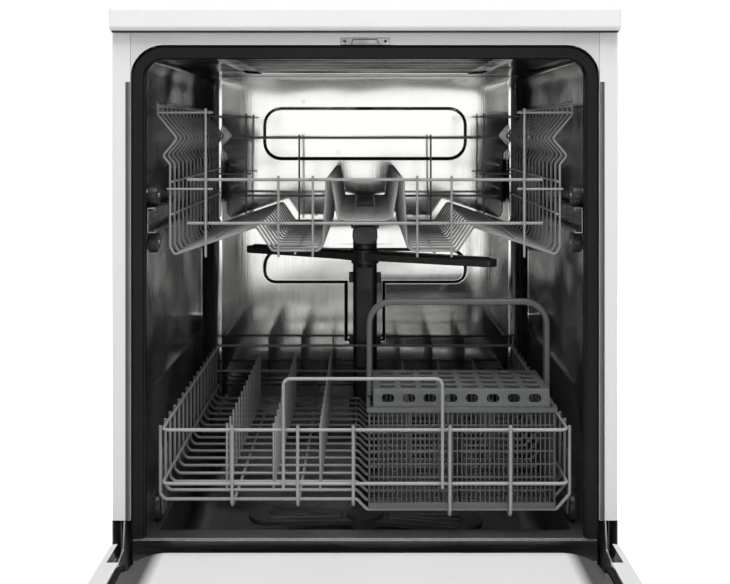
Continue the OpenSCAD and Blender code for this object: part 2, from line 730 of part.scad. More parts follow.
module filter_plate() {
  z0 = tub_floor + seat;
  y = front_y + filter_d;
  color(steel) difference() {
    along_z(z0, z0 + 1.2) polygon(round_box(-110, y - 90, 110, spray_y - 15, 40));
    translate([0, y, z0 - 1]) cylinder(r = filter_r + 1, h = 4, $fn = 72);
    // Rows of holes
    for (a = [0 : 30 : 330]) rotate_about(0, y, a) translate([filter_r + 9, 0, z0 - 1])
      cylinder(r = 2, h = 4, $fn = 16);
    for (a = [0 : 20 : 340]) rotate_about(0, y, a) translate([filter_r + 20, 0, z0 - 1])
      cylinder(r = 2, h = 4, $fn = 16);
  }
}
module rotate_about(x, y, a) { translate([x, y, 0]) rotate([0, 0, a]) children(); }
// The cup hangs in the sump by its rim and turns to lock
module filter_cup() {
  z0 = tub_floor + seat + 1.2 + seat;
  translate([0, front_y + filter_d, 0]) color("#6d7276") {
    difference() {
      union() {
        translate([0, 0, z0]) cylinder(r = filter_r + 6, h = 2.5, $fn = 72);
        translate([0, 0, z0 - 45]) cylinder(r = filter_r, h = 45, $fn = 72);
      }
      translate([0, 0, z0 - 43]) cylinder(r = filter_r - 1.5, h = 50, $fn = 72);
      for (a = [0 : 30 : 150]) rotate([0, 0, a]) block(-filter_r - 1, filter_r + 1, -3, 3, z0 - 36, z0 - 8);
    }
    // Grip across the mouth
    block(-filter_r + 1, filter_r - 1, -1.5, 1.5, z0 - 6, z0 + 5);
  }
}
module circulation_pump() {
  x0 = sump_r + 14 + seat;
  y = front_y + filter_d;
  z = tub_floor - tub_t - seat - sump_h + 30;
  color("#2b2d30") {
    pin_x(x0, x0 + 26, y, z, pump_r);
    pin_x(x0 + 26, x0 + 34, y, z, pump_r - 8);
    pin_x(x0 + 34, x0 + pump_l, y, z, pump_r - 4);
    // Cooling ribs round the motor
    for (i = [0 : 4]) pin_x(x0 + 44 + i * 14, x0 + 48 + i * 14, y, z, pump_r - 2);
  }
}
module drain_pump() {
  y = front_y + filter_d;
  color("#3d4145") {
    pin_x(-sump_r - 52, -sump_r - seat, y, 86, 17);
    block(-sump_r - 86, -sump_r - 52, y - 20, y + 20, 70, 102);
  }
}
module softener() {
  z0 = base_z + 14 + seat;
  y0 = front_y + 74;
  color("#d6d2c6") difference() {
    union() {
      along_z(z0, tub_floor - tub_t - 4) polygon(round_box(-case_hw + 16, y0, -sump_r - 90, y0 + 138, 14));
      translate([-salt_x, front_y + salt_d, z0 + 20]) cylinder(r = salt_r + 2, h = tub_floor + seat + 2 -
        z0 - 20, $fn = 48);
    }
    translate([-salt_x, front_y + salt_d, z0 + 24]) cylinder(r = salt_r - 2, h = 100, $fn = 48);
  }
}
module salt_cap() {
  z0 = tub_floor + 2 * seat + 2;
  color("#e8ebe9") translate([-salt_x, front_y + salt_d, 0]) {
    translate([0, 0, z0]) cylinder(r = salt_r + 2, h = 3, $fn = 48);
    translate([0, 0, z0 - 14]) cylinder(r = salt_r - 2 - run_gap, h = 14, $fn = 48);
    block(-salt_r + 2, salt_r - 2, -2.5, 2.5, z0 + 3, z0 + 12);
  }
}
module air_break_chamber() {
  x0 = wall_out + emboss + seat;
  x1 = case_hw - sheet_t - seat;
  way = (chamber_z1 - chamber_z0 - 20) / 5;
  color("#e4e6e2") mirror([1, 0, 0]) difference() {
    along_x(x0, x1) polygon(round_box(front_y + chamber_d0, chamber_z0, front_y + chamber_d1, chamber_z1,
      20));
    // Water ways moulded between ribs
    for (i = [0 : 4]) along_x(x1 - 4, x1 + 1) polygon(round_box(front_y + chamber_d0 + 15, chamber_z0 +
      15 + i * way, front_y + chamber_d1 - 15, chamber_z0 + 15 + (i + 1) * way - chamber_rib, 12));
  }
}
module inlet_valve() {
  color("#d9d7cf") difference() {
    union() {
      pin_y(inlet_x, rear_y - 24, rear_y + inlet_l, inlet_z, inlet_r);
      pin_y(inlet_x, rear_y - 10, rear_y - sheet_t - seat, inlet_z, inlet_r + 6);
      block(inlet_x - 16, inlet_x + 16, rear_y - 46, rear_y - 9, inlet_z - 14, inlet_z + 30);
    }
    pin_y(inlet_x, rear_y - 12, rear_y + inlet_l + 1, inlet_z, inlet_r - 3.5);
  }
}
module drain_spigot() {
  color("#55585b") difference() {
    union() {
      pin_y(drain_x, rear_y - 30, rear_y + drain_l, drain_z, drain_r);
      pin_y(drain_x, rear_y - 9, rear_y - sheet_t - seat, drain_z, drain_r + 6);
      block(drain_x - 14, drain_x + 14, rear_y - 30, rear_y - 8, drain_z - 14, drain_z + 14);
    }
    pin_y(drain_x, rear_y - 20, rear_y + drain_l + 1, drain_z, drain_r - 2);
  }
}
module terminal_box() {
  color("#1f2022") difference() {
    union() {
      block(cable_x - 40, cable_x + 40, rear_y - 42, rear_y - sheet_t - seat, cable_z - 28, cable_z + 28);
      block(cable_x - 21, cable_x + 21, rear_y - sheet_t - 2 * seat, rear_y + 6, cable_z - 16, cable_z +
        16);
    }
    pin_y(cable_x, rear_y - 30, rear_y + 7, cable_z, 5.5);
    block(cable_x - 37, cable_x + 37, rear_y - 39, rear_y - sheet_t - 3, cable_z - 25, cable_z + 25);
  }
}
module feed_tube() {
  y1 = front_y + tub_back - seat;
  z0 = tub_floor + seat;
  hw = feed_w / 2;
  color(black) {
    along_z(z0, duct_z + 9) polygon(round_box(-hw, y1 - feed_t, hw, y1, 8));
    // Coupling that the upper duct meets
    pin_y(0, y1 - feed_t - 10, y1 - feed_t + 2, duct_z - 4, 11.5);
    // Run along the floor from the sump
    along_y(spray_y + 28, y1 - feed_t + 1) polygon(concat([[-hw, z0], [hw, z0]],
      arc(hw - 6, z0 + 2, 6, 0, 90, 4), arc(6 - hw, z0 + 2, 6, 90, 180, 4)));
    // Clips that hold it to the back wall
    for (s = [0.25, 0.5, 0.75]) block(-hw - 7, hw + 7, y1 - 5, y1, z0 + s * (duct_z - z0), z0 + s *
      (duct_z - z0) + 16);
  }
}
module hinge_brackets() {
  z = hinge_z;
  color("#7d8185") both_sides() {
    along_x(hinge_x, hinge_x + 2) polygon([[hinge_y - 9, z - 4], [hinge_y - 4, z - 9], [hinge_y, z - 10],
      [front_y - 3, z - 14], [front_y + 24, z - 22], [front_y + 28, z - 30],
      [front_y + 28, plinth_top + 5], [front_y + notch_d + 3, plinth_top + 5],
      [front_y + notch_d + 3, base_z + base_h + seat], [front_y + 70, base_z + base_h + seat],
      [front_y + 70, notch_z - seat], [front_y + seat, notch_z - seat], [front_y - 6, z + 14],
      [hinge_y, z + 10], [hinge_y - 7, z + 7], [hinge_y - 10, z]]);
    pin_x(hinge_x + 2, hinge_x + 7, hinge_y, z, hinge_pin_r);
    // Flange that stands on the base tray and the pulley of the door's spring
    block(hinge_x - 10, hinge_x + 1, front_y + 46, front_y + 70, base_z + base_h + seat, base_z + base_h +
      2.5);
    pin_x(hinge_x + 2, hinge_x + 5, front_y + 50, z - 60, 4);
    translate([hinge_x + 5, front_y + 50, z - 60]) rotate([0, 90, 0]) rotate_extrude($fn = 48)
      polygon([[0, 0], [14, 0], [14, 1], [11, 3], [14, 5], [14, 6], [0, 6]]);
    // Spring that balances the door, beside the tub
    pin_x(hinge_x + 2, hinge_x + 8, front_y + 64, z - 100, 3);
    pin_y(hinge_x + 7, front_y + 62, front_y + 260, z - 100, 5);
  }
}
// Guide rollers run on fixed pins above and below each rail
top_roller_z = rail_z + rail_h / 2 + roller_r + seat;
bottom_roller_z = rail_z - rail_h / 2 - roller_r - seat;
module roller_pins() {
  y = front_y + roller_d;
  color("#7c8084") both_sides() for (z = [top_roller_z, bottom_roller_z]) {
    pin_x(rail_x, tub_hw - seat, y, z, 3);
    pin_x(tub_hw - 2.5, tub_hw - seat, y, z, 9);
  }
  color(grey) both_sides() for (s = [-1, 1]) {
    z = rail_z + s * (rail_h / 2 + seat + 4);
    block(rail_x, tub_hw - seat, front_y + 180, front_y + 200, z - 4, z + 4);
  }
}
module roller_pair(z) {
  y = front_y + roller_d;
  color(black) both_sides() difference() {
    union() {
      pin_x(rail_x + 1, tub_hw - 3, y, z, roller_r - 1);
      pin_x(rail_x + 2, tub_hw - 4, y, z, roller_r);
    }
    pin_x(rail_x, tub_hw, y, z, 3 + run_gap / 2);
    for (a = [0 : 60 : 300]) pin_x(rail_x, rail_x + 3, y + 8 * cos(a), z + 8 * sin(a), 2);
  }
}
module top_rollers() roller_pair(top_roller_z);
module bottom_rollers() roller_pair(bottom_roller_z);
module upper_rails() {
  z0 = rail_z - rail_h / 2;
  z1 = rail_z + rail_h / 2;
  x1 = rail_x + rail_w;
  color("#8e9296") both_sides() along_y(front_y + rail_front, front_y + rail_front + rail_len)
    polygon([[x1, z0], [x1, z1], [rail_x, z1], [rail_x, z1 - 4], [rail_x + rail_t, z1 - 4],
    [rail_x + rail_t, z1 - rail_t], [x1 - rail_t, z1 - rail_t], [x1 - rail_t, z0 + rail_t],
    [rail_x + rail_t, z0 + rail_t], [rail_x + rail_t, z0 + 4], [rail_x, z0 + 4], [rail_x, z0]]);
}

// The door lies open. Distances along it are measured from the hinge axis
function dy(a) = hinge_y - a;
module door_outer_panel() {
  z0 = door_out_z;
  y0 = fascia_y + seat;
  color(white) {
    block(-door_hw, door_hw, y0, hinge_y + door_tail, z0, z0 + sheet_t);
    both_sides() {
      along_y(y0, dy(32)) polygon([[door_hw, z0], [door_hw, door_z - 2], [liner_hw + 10, door_z - 2],
        [liner_hw + 10, door_z - 3], [door_hw - 8, door_z - 3], [door_hw - 8, door_z - 6],
        [door_hw - 7, door_z - 6], [door_hw - 7, door_z - 3], [door_hw - sheet_t, door_z - 3],
        [door_hw - sheet_t, z0]]);
      // Past the hinge plates the lip is narrower, and it is rounded off at its end
      along_z(door_z - 3, door_z - 2) polygon(concat([[door_hw - 7, dy(33)], [door_hw, dy(33)]],
        arc(door_hw - 6, dy(6 - lip_end), 6, 0, 90, 4), [[door_hw - 7, dy(-lip_end)]]));
      along_x(door_hw - sheet_t, door_hw) polygon([[dy(33), z0], [dy(33), door_z - 2],
        [dy(6 - lip_end), door_z - 2], [hinge_y + door_tail, z0 + 12], [hinge_y + door_tail, z0]]);
    }
    // Stiffening ribs inside
    for (x = [-150, 0, 150]) block(x - 20, x + 20, y0 + 20, dy(60), z0 + sheet_t, z0 + 3);
  }
}
module door_inner_panel() {
  hw = liner_hw;
  y0 = fascia_end + 14;
  y1 = dy(-5) - 0.5;
  fx = hw - 34;
  color(steel) difference() {
    along_z(door_z - 14, door_z) polygon(concat(arc(hw - 40, y1 - 40, 40, 0, 90, 8),
      arc(40 - hw, y1 - 40, 40, 90, 180, 8), [[-hw, y0], [hw, y0]]));
    // Hollow behind the sheet, with the pressed field hanging into it
    difference() {
      along_z(door_z - 15, door_z - 1) polygon(concat(arc(hw - 41, y1 - 41, 40, 0, 90, 8),
        arc(41 - hw, y1 - 41, 40, 90, 180, 8), [[1 - hw, y0 + 1], [hw - 1, y0 + 1]]));
      along_z(door_z - liner_field - 1, door_z) polygon(round_box(-fx - 1, fascia_y + 9, fx + 1, dy(109),
        31));
    }
    difference() {
      along_z(door_z - liner_field, door_z + 1) polygon(round_box(-fx, fascia_y + 10, fx, dy(110), 30));
      // Raised seat round the dispenser
      along_z(door_z - 20, door_z + 2) polygon(round_box(disp_x - 14, dy(disp_y + disp_h + 14), disp_x +
        disp_w + 14, dy(disp_y - 14), 18));
    }
    along_z(door_z - 20, door_z + 2) polygon(round_box(disp_x - seat, dy(disp_y + disp_h) - seat, disp_x +
      disp_w + seat, dy(disp_y) + seat, 10));
  }
}
module door_side_seals() {
  color(black) both_sides() along_y(fascia_end + 14, dy(40)) polygon([[liner_hw + seat, door_z - 14],
    [liner_hw + seat, door_z - 0.6], [liner_hw + 3, door_z - 0.4], [liner_hw + 6, door_z - 3],
    [liner_hw + 9.5, door_z - 3.6], [liner_hw + 9.5, door_z - 14]]);
}
button_x = [150, 185, 220];
button_y = dy(door_len - fascia_h / 2);
power_x = -235;
window_x = -165;
module control_panel() {
  z0 = door_out_z;
  y0 = fascia_end;
  y1 = fascia_y;
  hw = door_hw;
  t = fascia_t;
  gy = fascia_end + 14;
  color(white) {
    difference() {
      along_x(-hw, hw) polygon([[y0 + 6, z0], [y1, z0], [y1, door_z - 3.5], [y0 + 12, door_z - 3.5],
        [y0 + 12, door_z], [y0 + 3, door_z], [y0, door_z - 3], [y0, z0 + 6], [y0 + 2, z0 + 2]]);
      difference() {
        block(t - hw, hw - t, y0 + t, y1 - t, z0 + t, door_z - t);
        // Pocket of the grip
        along_z(z0, z0 + grip_d + t) polygon(round_box(-grip_w / 2 - t, gy - t, grip_w / 2 + t, gy + 44 +
          t, 10 + t));
      }
      block(t - hw, hw - t, y0 + 12 - seat, y1 - t, door_z - 20, door_z + 1);
      block(-liner_hw - 10, liner_hw + 10, y1 - t - 1, y1 + 1, door_z - 14 - seat, door_z + 1);
      along_z(z0 - 1, z0 + grip_d) polygon(round_box(-grip_w / 2, gy, grip_w / 2, gy + 44, 10));
      for (x = button_x) block(x - button_w / 2 - run_gap, x + button_w / 2 + run_gap, button_y -
        button_h / 2 - run_gap, button_y + button_h / 2 + run_gap, z0 - 1, z0 + t + 1);
      translate([power_x, button_y, z0 - 1]) cylinder(r = power_r + run_gap, h = t + 2, $fn = 48);
      block(window_x - 35, window_x + 35, button_y - 11, button_y + 11, z0 - 1, z0 + 1.5);
      block(-21, 21, y0 - 1, y0 + 13, door_z - 9, door_z + 1);
    }
  }
}
module display_window() {
  color("#101214") block(window_x - 35 + seat, window_x + 35 - seat, button_y - 11 + seat, button_y + 11 -
    seat, door_out_z, door_out_z + 1.5 - seat / 2);
}
module door_latch() {
  z = door_z - 9 + seat;
  y = fascia_end + 9;
  color("#35383b") {
    block(-20, 20, fascia_end + 3.5, fascia_end + 13, z, door_z - 1);
    // Tongue that enters the striker
    along_x(-12, 12) polygon([[y - 5, door_z - 1], [y, door_z - 1], [y, door_z + 7], [y - 2, door_z + 9],
      [y - 5, door_z + 7]]);
  }
}
module hinge_arms() {
  z = hinge_z;
  color("#7d8185") both_sides() difference() {
    along_x(hinge_x + 4, hinge_x + 6.5) polygon(concat(arc(hinge_y, z, 12, -60, 90, 8),
      [[dy(40), z + 14], [dy(130), z + 14], [dy(130), door_out_z + sheet_t + seat],
      [dy(14), door_out_z + sheet_t + seat]]));
    pin_x(hinge_x + 3, hinge_x + 8, hinge_y, z, hinge_pin_r + run_gap / 2);
    for (a = [60, 95]) pin_x(hinge_x + 3, hinge_x + 8, dy(a), z, 6);
  }
}
cup_x = disp_x + 14;
cup_y = dy(disp_y + disp_h / 2);
rinse_x = disp_x + disp_w - 25;
module dispenser() {
  z1 = door_z + 3;
  hy = disp_h / 2;
  color("#2e3134") difference() {
    union() {
      along_z(door_out_z + 10, z1 - 1) polygon(round_box(disp_x, cup_y - hy, disp_x + disp_w, cup_y + hy,
        10));
      along_z(z1 - 1, z1) polygon(round_box(disp_x + 1, cup_y - hy + 1, disp_x + disp_w - 1, cup_y + hy -
        1, 9));
    }
    along_z(door_z - 24, z1 + 1) polygon(round_box(cup_x, cup_y - 30, cup_x + cup_w, cup_y + 30, 8));
    translate([rinse_x, cup_y, door_z - 20]) cylinder(r = rinse_r - 3, h = 30, $fn = 48);
    // Grooves that guide the lid
    for (s = [-1, 1]) block(cup_x - 8, rinse_x - rinse_r - 4, cup_y + s * 37 - 1.6, cup_y + s * 37 + 1.6,
      z1 - 3, z1 + 1);
  }
}
module dispenser_lid() {
  z0 = door_z + 3 + seat;
  color("#44484b") {
    along_z(z0, z0 + 3) polygon(round_box(cup_x - 5, cup_y - 41, cup_x + cup_w + 5, cup_y + 41, 5));
    for (s = [-1, 1]) block(cup_x - 4, cup_x + cup_w + 4, cup_y + s * 37 - 1.3, cup_y + s * 37 + 1.3, z0 -
      2.8, z0);
    along_z(z0 + 3, z0 + 6) polygon(round_box(cup_x + 6, cup_y - 20, cup_x + 14, cup_y + 20, 3.5));
  }
}
module rinse_aid_cap() {
  z0 = door_z + 3 + seat;
  color("#4d6472") translate([rinse_x, cup_y, 0]) {
    translate([0, 0, z0]) cylinder(r = rinse_r, h = 3, $fn = 48);
    translate([0, 0, z0 - 12]) cylinder(r = rinse_r - 3 - run_gap, h = 12, $fn = 48);
    rotate([0, 0, 30]) block(-rinse_r + 3, rinse_r - 3, -2, 2, z0 + 3, z0 + 6);
  }
}
module button_at(x) {
  z0 = door_out_z;
  w = button_w / 2;
  h = button_h / 2;
  color("#d7dad8") {
    along_z(z0 - button_travel - 1, z0 + fascia_t + seat) polygon(round_box(x - w, button_y - h, x + w,
      button_y + h, 2));
    block(x - w - 2, x + w + 2, button_y - h - 2, button_y + h + 2, z0 + fascia_t + seat, z0 + fascia_t +
      seat + 1.5);
  }
}
module programme_button() button_at(button_x[0]);
module option_button() button_at(button_x[1]);
module start_button() button_at(button_x[2]);
module power_button() {
  z0 = door_out_z;
  color("#c3c7c6") translate([power_x, button_y, 0]) {
    translate([0, 0, z0 - button_travel - 1]) cylinder(r = power_r, h = button_travel + 1 + fascia_t +
      seat, $fn = 48);
    translate([0, 0, z0 + fascia_t + seat]) cylinder(r = power_r + 2, h = 1.5, $fn = 48);
  }
}

// Side profile of the upper rack's bent wires, from the rim to the floor
upper_floor_ridge = [ridge_x, upper_floor + ridge_h];
upper_foot = [upper_hw - 5, upper_floor - 5];
upper_cut = upper_foot + unit(upper_floor_ridge - upper_foot) * 4;
upper_side = [[upper_hw + rim_out, upper_rim], [upper_hw + rim_out, kink_z + 29], [upper_hw - 9, kink_z],
  [upper_hw + 9, kink_z - 21], [upper_hw, kink_z - 32], [upper_hw, upper_floor + 5], upper_foot, upper_cut];
// The floor's wires rise to a ridge, dip to a valley, stand up as tines and cross the middle
upper_slope = [upper_cut + unit(upper_floor_ridge - upper_foot) * weld, upper_floor_ridge,
  [valley_x1, upper_floor], [valley_x0 + 4 + weld, upper_floor]];
tine_in = [valley_x0 - 17, tine_top];
tine_foot = [valley_x0 - 25, upper_floor + middle_h + 3];
tine_cut = tine_foot + unit(tine_in - tine_foot) * 1.5;
upper_tine = [[valley_x0 + 4, upper_floor], [valley_x0, upper_floor], [valley_x0 - 6, upper_floor + 6],
  [valley_x0 - 11, tine_top], tine_in, tine_cut];
half_middle = [tine_cut + unit(tine_foot - tine_in) * weld, tine_foot,
  [valley_x0 - 34, upper_floor + middle_h]];
upper_middle = concat(half_middle, [for (i = [2 : -1 : 0]) [-half_middle[i][0], half_middle[i][1]]]);
function upper_d(i) = upper_front + i * upper_pitch;
upper_last = upper_d(upper_n - 1);
function at_depth(path, d) = [for (p = path) [p[0], front_y + d, p[1]]];
module upper_side_wires() {
  y0 = front_y + upper_front - thin_r;
  y1 = front_y + upper_last + thin_r;
  step = thin_d + weld;
  color(grey) both_sides() {
    for (i = [0 : upper_n - 1]) wire(at_depth(upper_side, upper_d(i)), [0, 1, 0], thin_r);
    rod_y(upper_hw + rim_out - step, y0, y1, upper_rim - 3, thin_r);
    for (z = [rail_z + 44.5, rail_z + 4.5]) rod_y(upper_hw - step, y0, y1, z, thin_r);
  }
}
module upper_floor_wires() {
  y0 = front_y + upper_front - thin_r;
  y1 = front_y + upper_last + thin_r;
  step = thin_d + weld;
  slope = unit(upper_floor_ridge - upper_foot);
  mid = upper_foot + (upper_floor_ridge - upper_foot) * 0.5 + [slope[1], -slope[0]] * step;
  color(grey) {
    for (i = [0 : upper_n - 1]) wire(at_depth(upper_middle, upper_d(i)), [0, 1, 0], thin_r);
    both_sides() {
      for (i = [0 : upper_n - 1]) {
        wire(at_depth(upper_slope, upper_d(i)), [0, 1, 0], thin_r);
        wire(at_depth(upper_tine, upper_d(i)), [0, 1, 0], thin_r);
      }
      rod_y(mid[0], y0, y1, mid[1], thin_r);
      rod_y((valley_x0 + valley_x1) / 2, y0, y1, upper_floor - step, thin_r);
      rod_y(14, y0, y1, upper_floor + middle_h + step, thin_r);
    }
  }
}
module upper_end(y, s) {
  // One end grid: s is -1 in front and 1 behind
  z_low = upper_floor + (s < 0 ? grid_low : rear_low);
  z_high = upper_floor + (s < 0 ? grid_high : rear_high);
  lo = upper_floor - 7;
  color(grey) {
    for (z = [z_low, z_high]) rod_x(-grid_hw, grid_hw, y, z, wire_r);
    yv = y + s * (wire_r + thin_r + weld);
    for (x = s < 0 ? [-grid_mid, -grid_in, grid_in, grid_mid] : [-grid_mid - 2, grid_mid + 2])
      rod_z(x, yv, lo, z_high + 5, thin_r);
    both_sides() {
      rod_z(grid_post, yv, lo, upper_floor + tie_high + 5, thin_r);
      rod_x(grid_post - 8, upper_hw + 3, y, upper_floor + tie_low, thin_r);
      rod_x(grid_post - 8, upper_hw + rim_out, y, upper_floor + tie_high, thin_r);
    }
  }
}
module rod_z(x, y, z0, z1, r) { translate([x, y, z0]) cylinder(r = r, h = z1 - z0, $fn = 24); }
module upper_end_wires() {
  upper_end(front_y + upper_front - thin_r - wire_r - weld, -1);
  upper_end(front_y + upper_last + thin_r + wire_r + weld, 1);
}
module upper_wheel_brackets() {
  x0 = upper_hw + thin_r + seat;
  x1 = rail_x - 2;
  y0 = front_y + rack_wheel_1 - 22;
  y1 = front_y + rack_wheel_2 + 20;
  color("#6b6e6b") both_sides() difference() {
    union() {
      along_x(x0, x1) polygon(round_box(y0, rail_z - 20.5, y1, rail_z + 54.5, 12));
      for (d = [rack_wheel_1, rack_wheel_2]) {
        pin_x(x1 - 1, rail_x + 1, front_y + d, rail_z, 6);
        pin_x(x1 - 1, rail_x + rail_w - rail_t - seat, front_y + d, rail_z, 3);
      }
    }
    for (i = [0 : 3]) along_x(x0 - 1, x1 + 1) polygon(round_box(y0 + 40 + i * 32, rail_z + 26.5, y0 + 62 +
      i * 32, rail_z + 44.5, 6));
    for (i = [0 : 2]) along_x(x0 - 1, x1 + 1) polygon(round_box(y0 + 50 + i * 34, rail_z - 10.5, y0 + 74 +
      i * 34, rail_z + 11.5, 8));
  }
}
module rail_wheel(d) {
  color(black) both_sides() difference() {
    pin_x(rail_x + 1.8, rail_x + rail_w - rail_t - 2 * seat, front_y + d, rail_z, rail_h / 2 - rail_t -
      run_gap);
    pin_x(rail_x, rail_x + rail_w, front_y + d, rail_z, 3 + run_gap / 2);
  }
}
module upper_front_wheels() rail_wheel(rack_wheel_1);
module upper_rear_wheels() rail_wheel(rack_wheel_2);
module upper_feed_duct() {
  y1 = front_y + tub_back - seat - feed_t - 10 - seat;
  hw = feed_w / 2 - 2;
  color(black) difference() {
    union() {
      along_y(spray_y - 17, y1) polygon(round_box(-hw, duct_z - 12, hw, duct_z + 13, 10));
      translate([0, spray_y, upper_arm_z + 10.5]) cylinder(r = 17, h = 20, $fn = 48);
      translate([0, spray_y, upper_arm_z - 14]) cylinder(r = 8, h = 30, $fn = 48);
      translate([0, spray_y, upper_arm_z - 17]) cylinder(r = 12, h = 5.5, $fn = 48);
      // Clips that hang on the rack's middle wires
      for (d = [spray_d - 14, spray_d + 66, spray_d + 146]) block(-20, 20, front_y + d + 1.5, front_y + d +
        9.5, duct_z + 10, upper_floor + middle_h - thin_r - seat);
    }
    pin_y(0, spray_y, y1 + 1, duct_z, 9);
  }
}
module upper_spray_arm() {
  z = upper_arm_z;
  l = upper_arm_l;
  color(black) translate([0, spray_y, 0]) rotate([0, 0, upper_arm_a]) difference() {
    union() {
      translate([0, 0, z - 11]) cylinder(r = 20, h = 21, $fn = 48);
      for (s = [0, 180]) rotate([0, 0, s]) {
        along_z(z - 5, z + 5) polygon(concat([[0, -18], [60, -17]], arc(l - 12, 0, 12, -80, 80, 8),
          [[60, 17], [0, 18]]));
        along_z(z + 5, z + 7.5) polygon(concat([[0, -8], [60, -8]], arc(l - 16, 0, 6, -80, 80, 6),
          [[60, 8], [0, 8]]));
      }
    }
    translate([0, 0, z - 12]) cylinder(r = 8 + run_gap, h = 30, $fn = 48);
    for (s = [0, 180]) rotate([0, 0, s]) for (x = [70, 115, l - 20]) translate([x, 0, z + 2])
      cylinder(r = 1.6, h = 8, $fn = 24);
  }
}
module lower_spray_arm() {
  z = lower_arm_z;
  l = lower_arm_l;
  color("#3b3d3e") translate([0, spray_y, 0]) rotate([0, 0, lower_arm_a]) difference() {
    union() {
      translate([0, 0, z - 8.5]) cylinder(r = 26, h = 17, $fn = 48);
      for (s = [0, 180]) rotate([0, 0, s]) {
        along_z(z - 4, z + 3) polygon(concat([[0, -20], [50, -22]], arc(l - 36, 0, 36, -75, 75, 10),
          [[50, 22], [0, 20]]));
        // Ribs that fan out along the blade
        for (a = [-8, 0, 8]) rotate([0, 0, a]) along_z(z + 3, z + 5)
          polygon(round_box(34, -3.2, l - 30, 3.2, 3));
      }
    }
    translate([0, 0, z - 9]) cylinder(r = spray_pin_r + run_gap, h = 13, $fn = 48);
    for (s = [0, 180]) rotate([0, 0, s]) for (x = [80, 125, l - 36]) translate([x, 0, z + 1])
      cylinder(r = 1.6, h = 6, $fn = 24);
  }
}

// Cross wire of the lower rack: the floor dips where the cutlery basket stands
dip_x1 = cutlery_x + cutlery_w + 2;
dip_x0 = cutlery_x - 2;
lower_left = [[-lower_hw, lower_rim + 2], [-lower_hw, lower_floor + foot_bend],
  [foot_bend - lower_hw, lower_floor], [foot_bend + 3 - lower_hw, lower_floor]];
lower_right = [[lower_hw, lower_rim + 2], [lower_hw, lower_floor + foot_bend], [dip_x1, lower_dip],
  [dip_x1 - 4, lower_dip]];
lower_across = [[foot_bend + 3 - lower_hw + weld, lower_floor], [dip_x0 - 12, lower_floor],
  [dip_x0, lower_dip], [dip_x0 + 4, lower_dip]];
function lower_d(i) = lower_front + i * lower_pitch;
lower_last = lower_d(lower_n - 1);
rim_hw = lower_hw - wire_d - weld;
rim_d = lower_front - 10;
function rim_path(z) = [for (p = [[-rim_hw, lower_last], [-rim_hw, rim_d], [rim_hw, rim_d],
  [rim_hw, lower_last]]) [p[0], front_y + p[1], z]];
module lower_side_wires() {
  color(grey) for (i = [0 : lower_n - 1]) {
    wire(at_depth(lower_left, lower_d(i)), [0, 1, 0], wire_r);
    wire(at_depth(lower_right, lower_d(i)), [0, 1, 0], wire_r);
  }
}
module lower_floor_wires() {
  drop = wire_d + weld;
  y1 = front_y + lower_last + wire_r;
  yf = front_y + rim_d - drop;
  color(grey) {
    for (i = [0 : lower_n - 1]) {
      wire(at_depth(lower_across, lower_d(i)), [0, 1, 0], wire_r);
      rod_x(dip_x0 + 4 + weld, dip_x1 - 4 - weld, front_y + lower_d(i), lower_dip, wire_r);
    }
    // Runners below the floor turn up at the front
    for (p = [[runner_1, lower_floor], [runner_2, lower_floor], [runner_3, lower_floor],
      [runner_4, lower_dip], [runner_5, lower_dip]]) {
      z = p[1] - drop;
      rod_y(p[0], yf + 12 + weld, y1, z, wire_r);
      wire([[p[0], yf + 12, z], [p[0], yf + 8, z], [p[0], yf, z + 8], [p[0], yf, lower_rim + 6]],
        [1, 0, 0], wire_r);
    }
    z0 = lower_floor + wire_r + weld;
    for (i = [1 : lower_n - 2]) for (j = [0 : 2]) tine(tine_left + j * tine_pitch, front_y + lower_d(i),
      z0, z0 + lower_tine_h, thin_r);
    z1 = lower_dip + wire_r + weld;
    for (i = [5 : lower_n - 2]) for (j = [0 : 2]) tine(tine_right + j * tine_pitch, front_y + lower_d(i),
      z1, z1 + lower_tine_h, thin_r);
  }
}
module lower_end_wires() {
  drop = wire_d + weld;
  yf = front_y + rim_d - drop;
  yr = front_y + lower_last + drop;
  color(grey) {
    for (z = [lower_rim, lower_floor + rim_low]) hoop(rim_path(z), [0, 0, 1], wire_r, rim_bend);
    hoop([[loop_x0, yf, lower_floor + rim_low - 4], [loop_x0, yf, lower_rim + loop_h],
      [loop_x1, yf, lower_rim + loop_h], [loop_x1, yf, lower_floor + rim_low - 4]], [0, 1, 0], wire_r,
      loop_bend);
    for (z = [lower_rim, lower_floor + 2 * rim_low]) rod_x(-lower_hw - 1, lower_hw + 1, yr, z, wire_r);
  }
}
module lower_wheel_carriers() {
  z = track_z + wheel_r + seat;
  x0 = lower_hw + wire_r + seat;
  x1 = wheel_x0 - 0.8;
  color("#4a4d4c") both_sides() for (d = [wheel_front_d, wheel_rear_d]) difference() {
    union() {
      along_x(x0, x1) polygon([[front_y + d - 24, lower_floor + 22], [front_y + d - 10, z - 7],
        [front_y + d + 10, z - 7], [front_y + d + 24, lower_floor + 22],
        [front_y + d + 24, lower_floor + 48], [front_y + d - 24, lower_floor + 48]]);
      pin_x(x1 - 1, wheel_x0 + wheel_w, front_y + d, z, 4);
    }
    along_x(x0 - 1, x1 + 1) polygon(round_box(front_y + d - 14, lower_floor + 28, front_y + d + 14,
      lower_floor + 41, 5));
  }
}
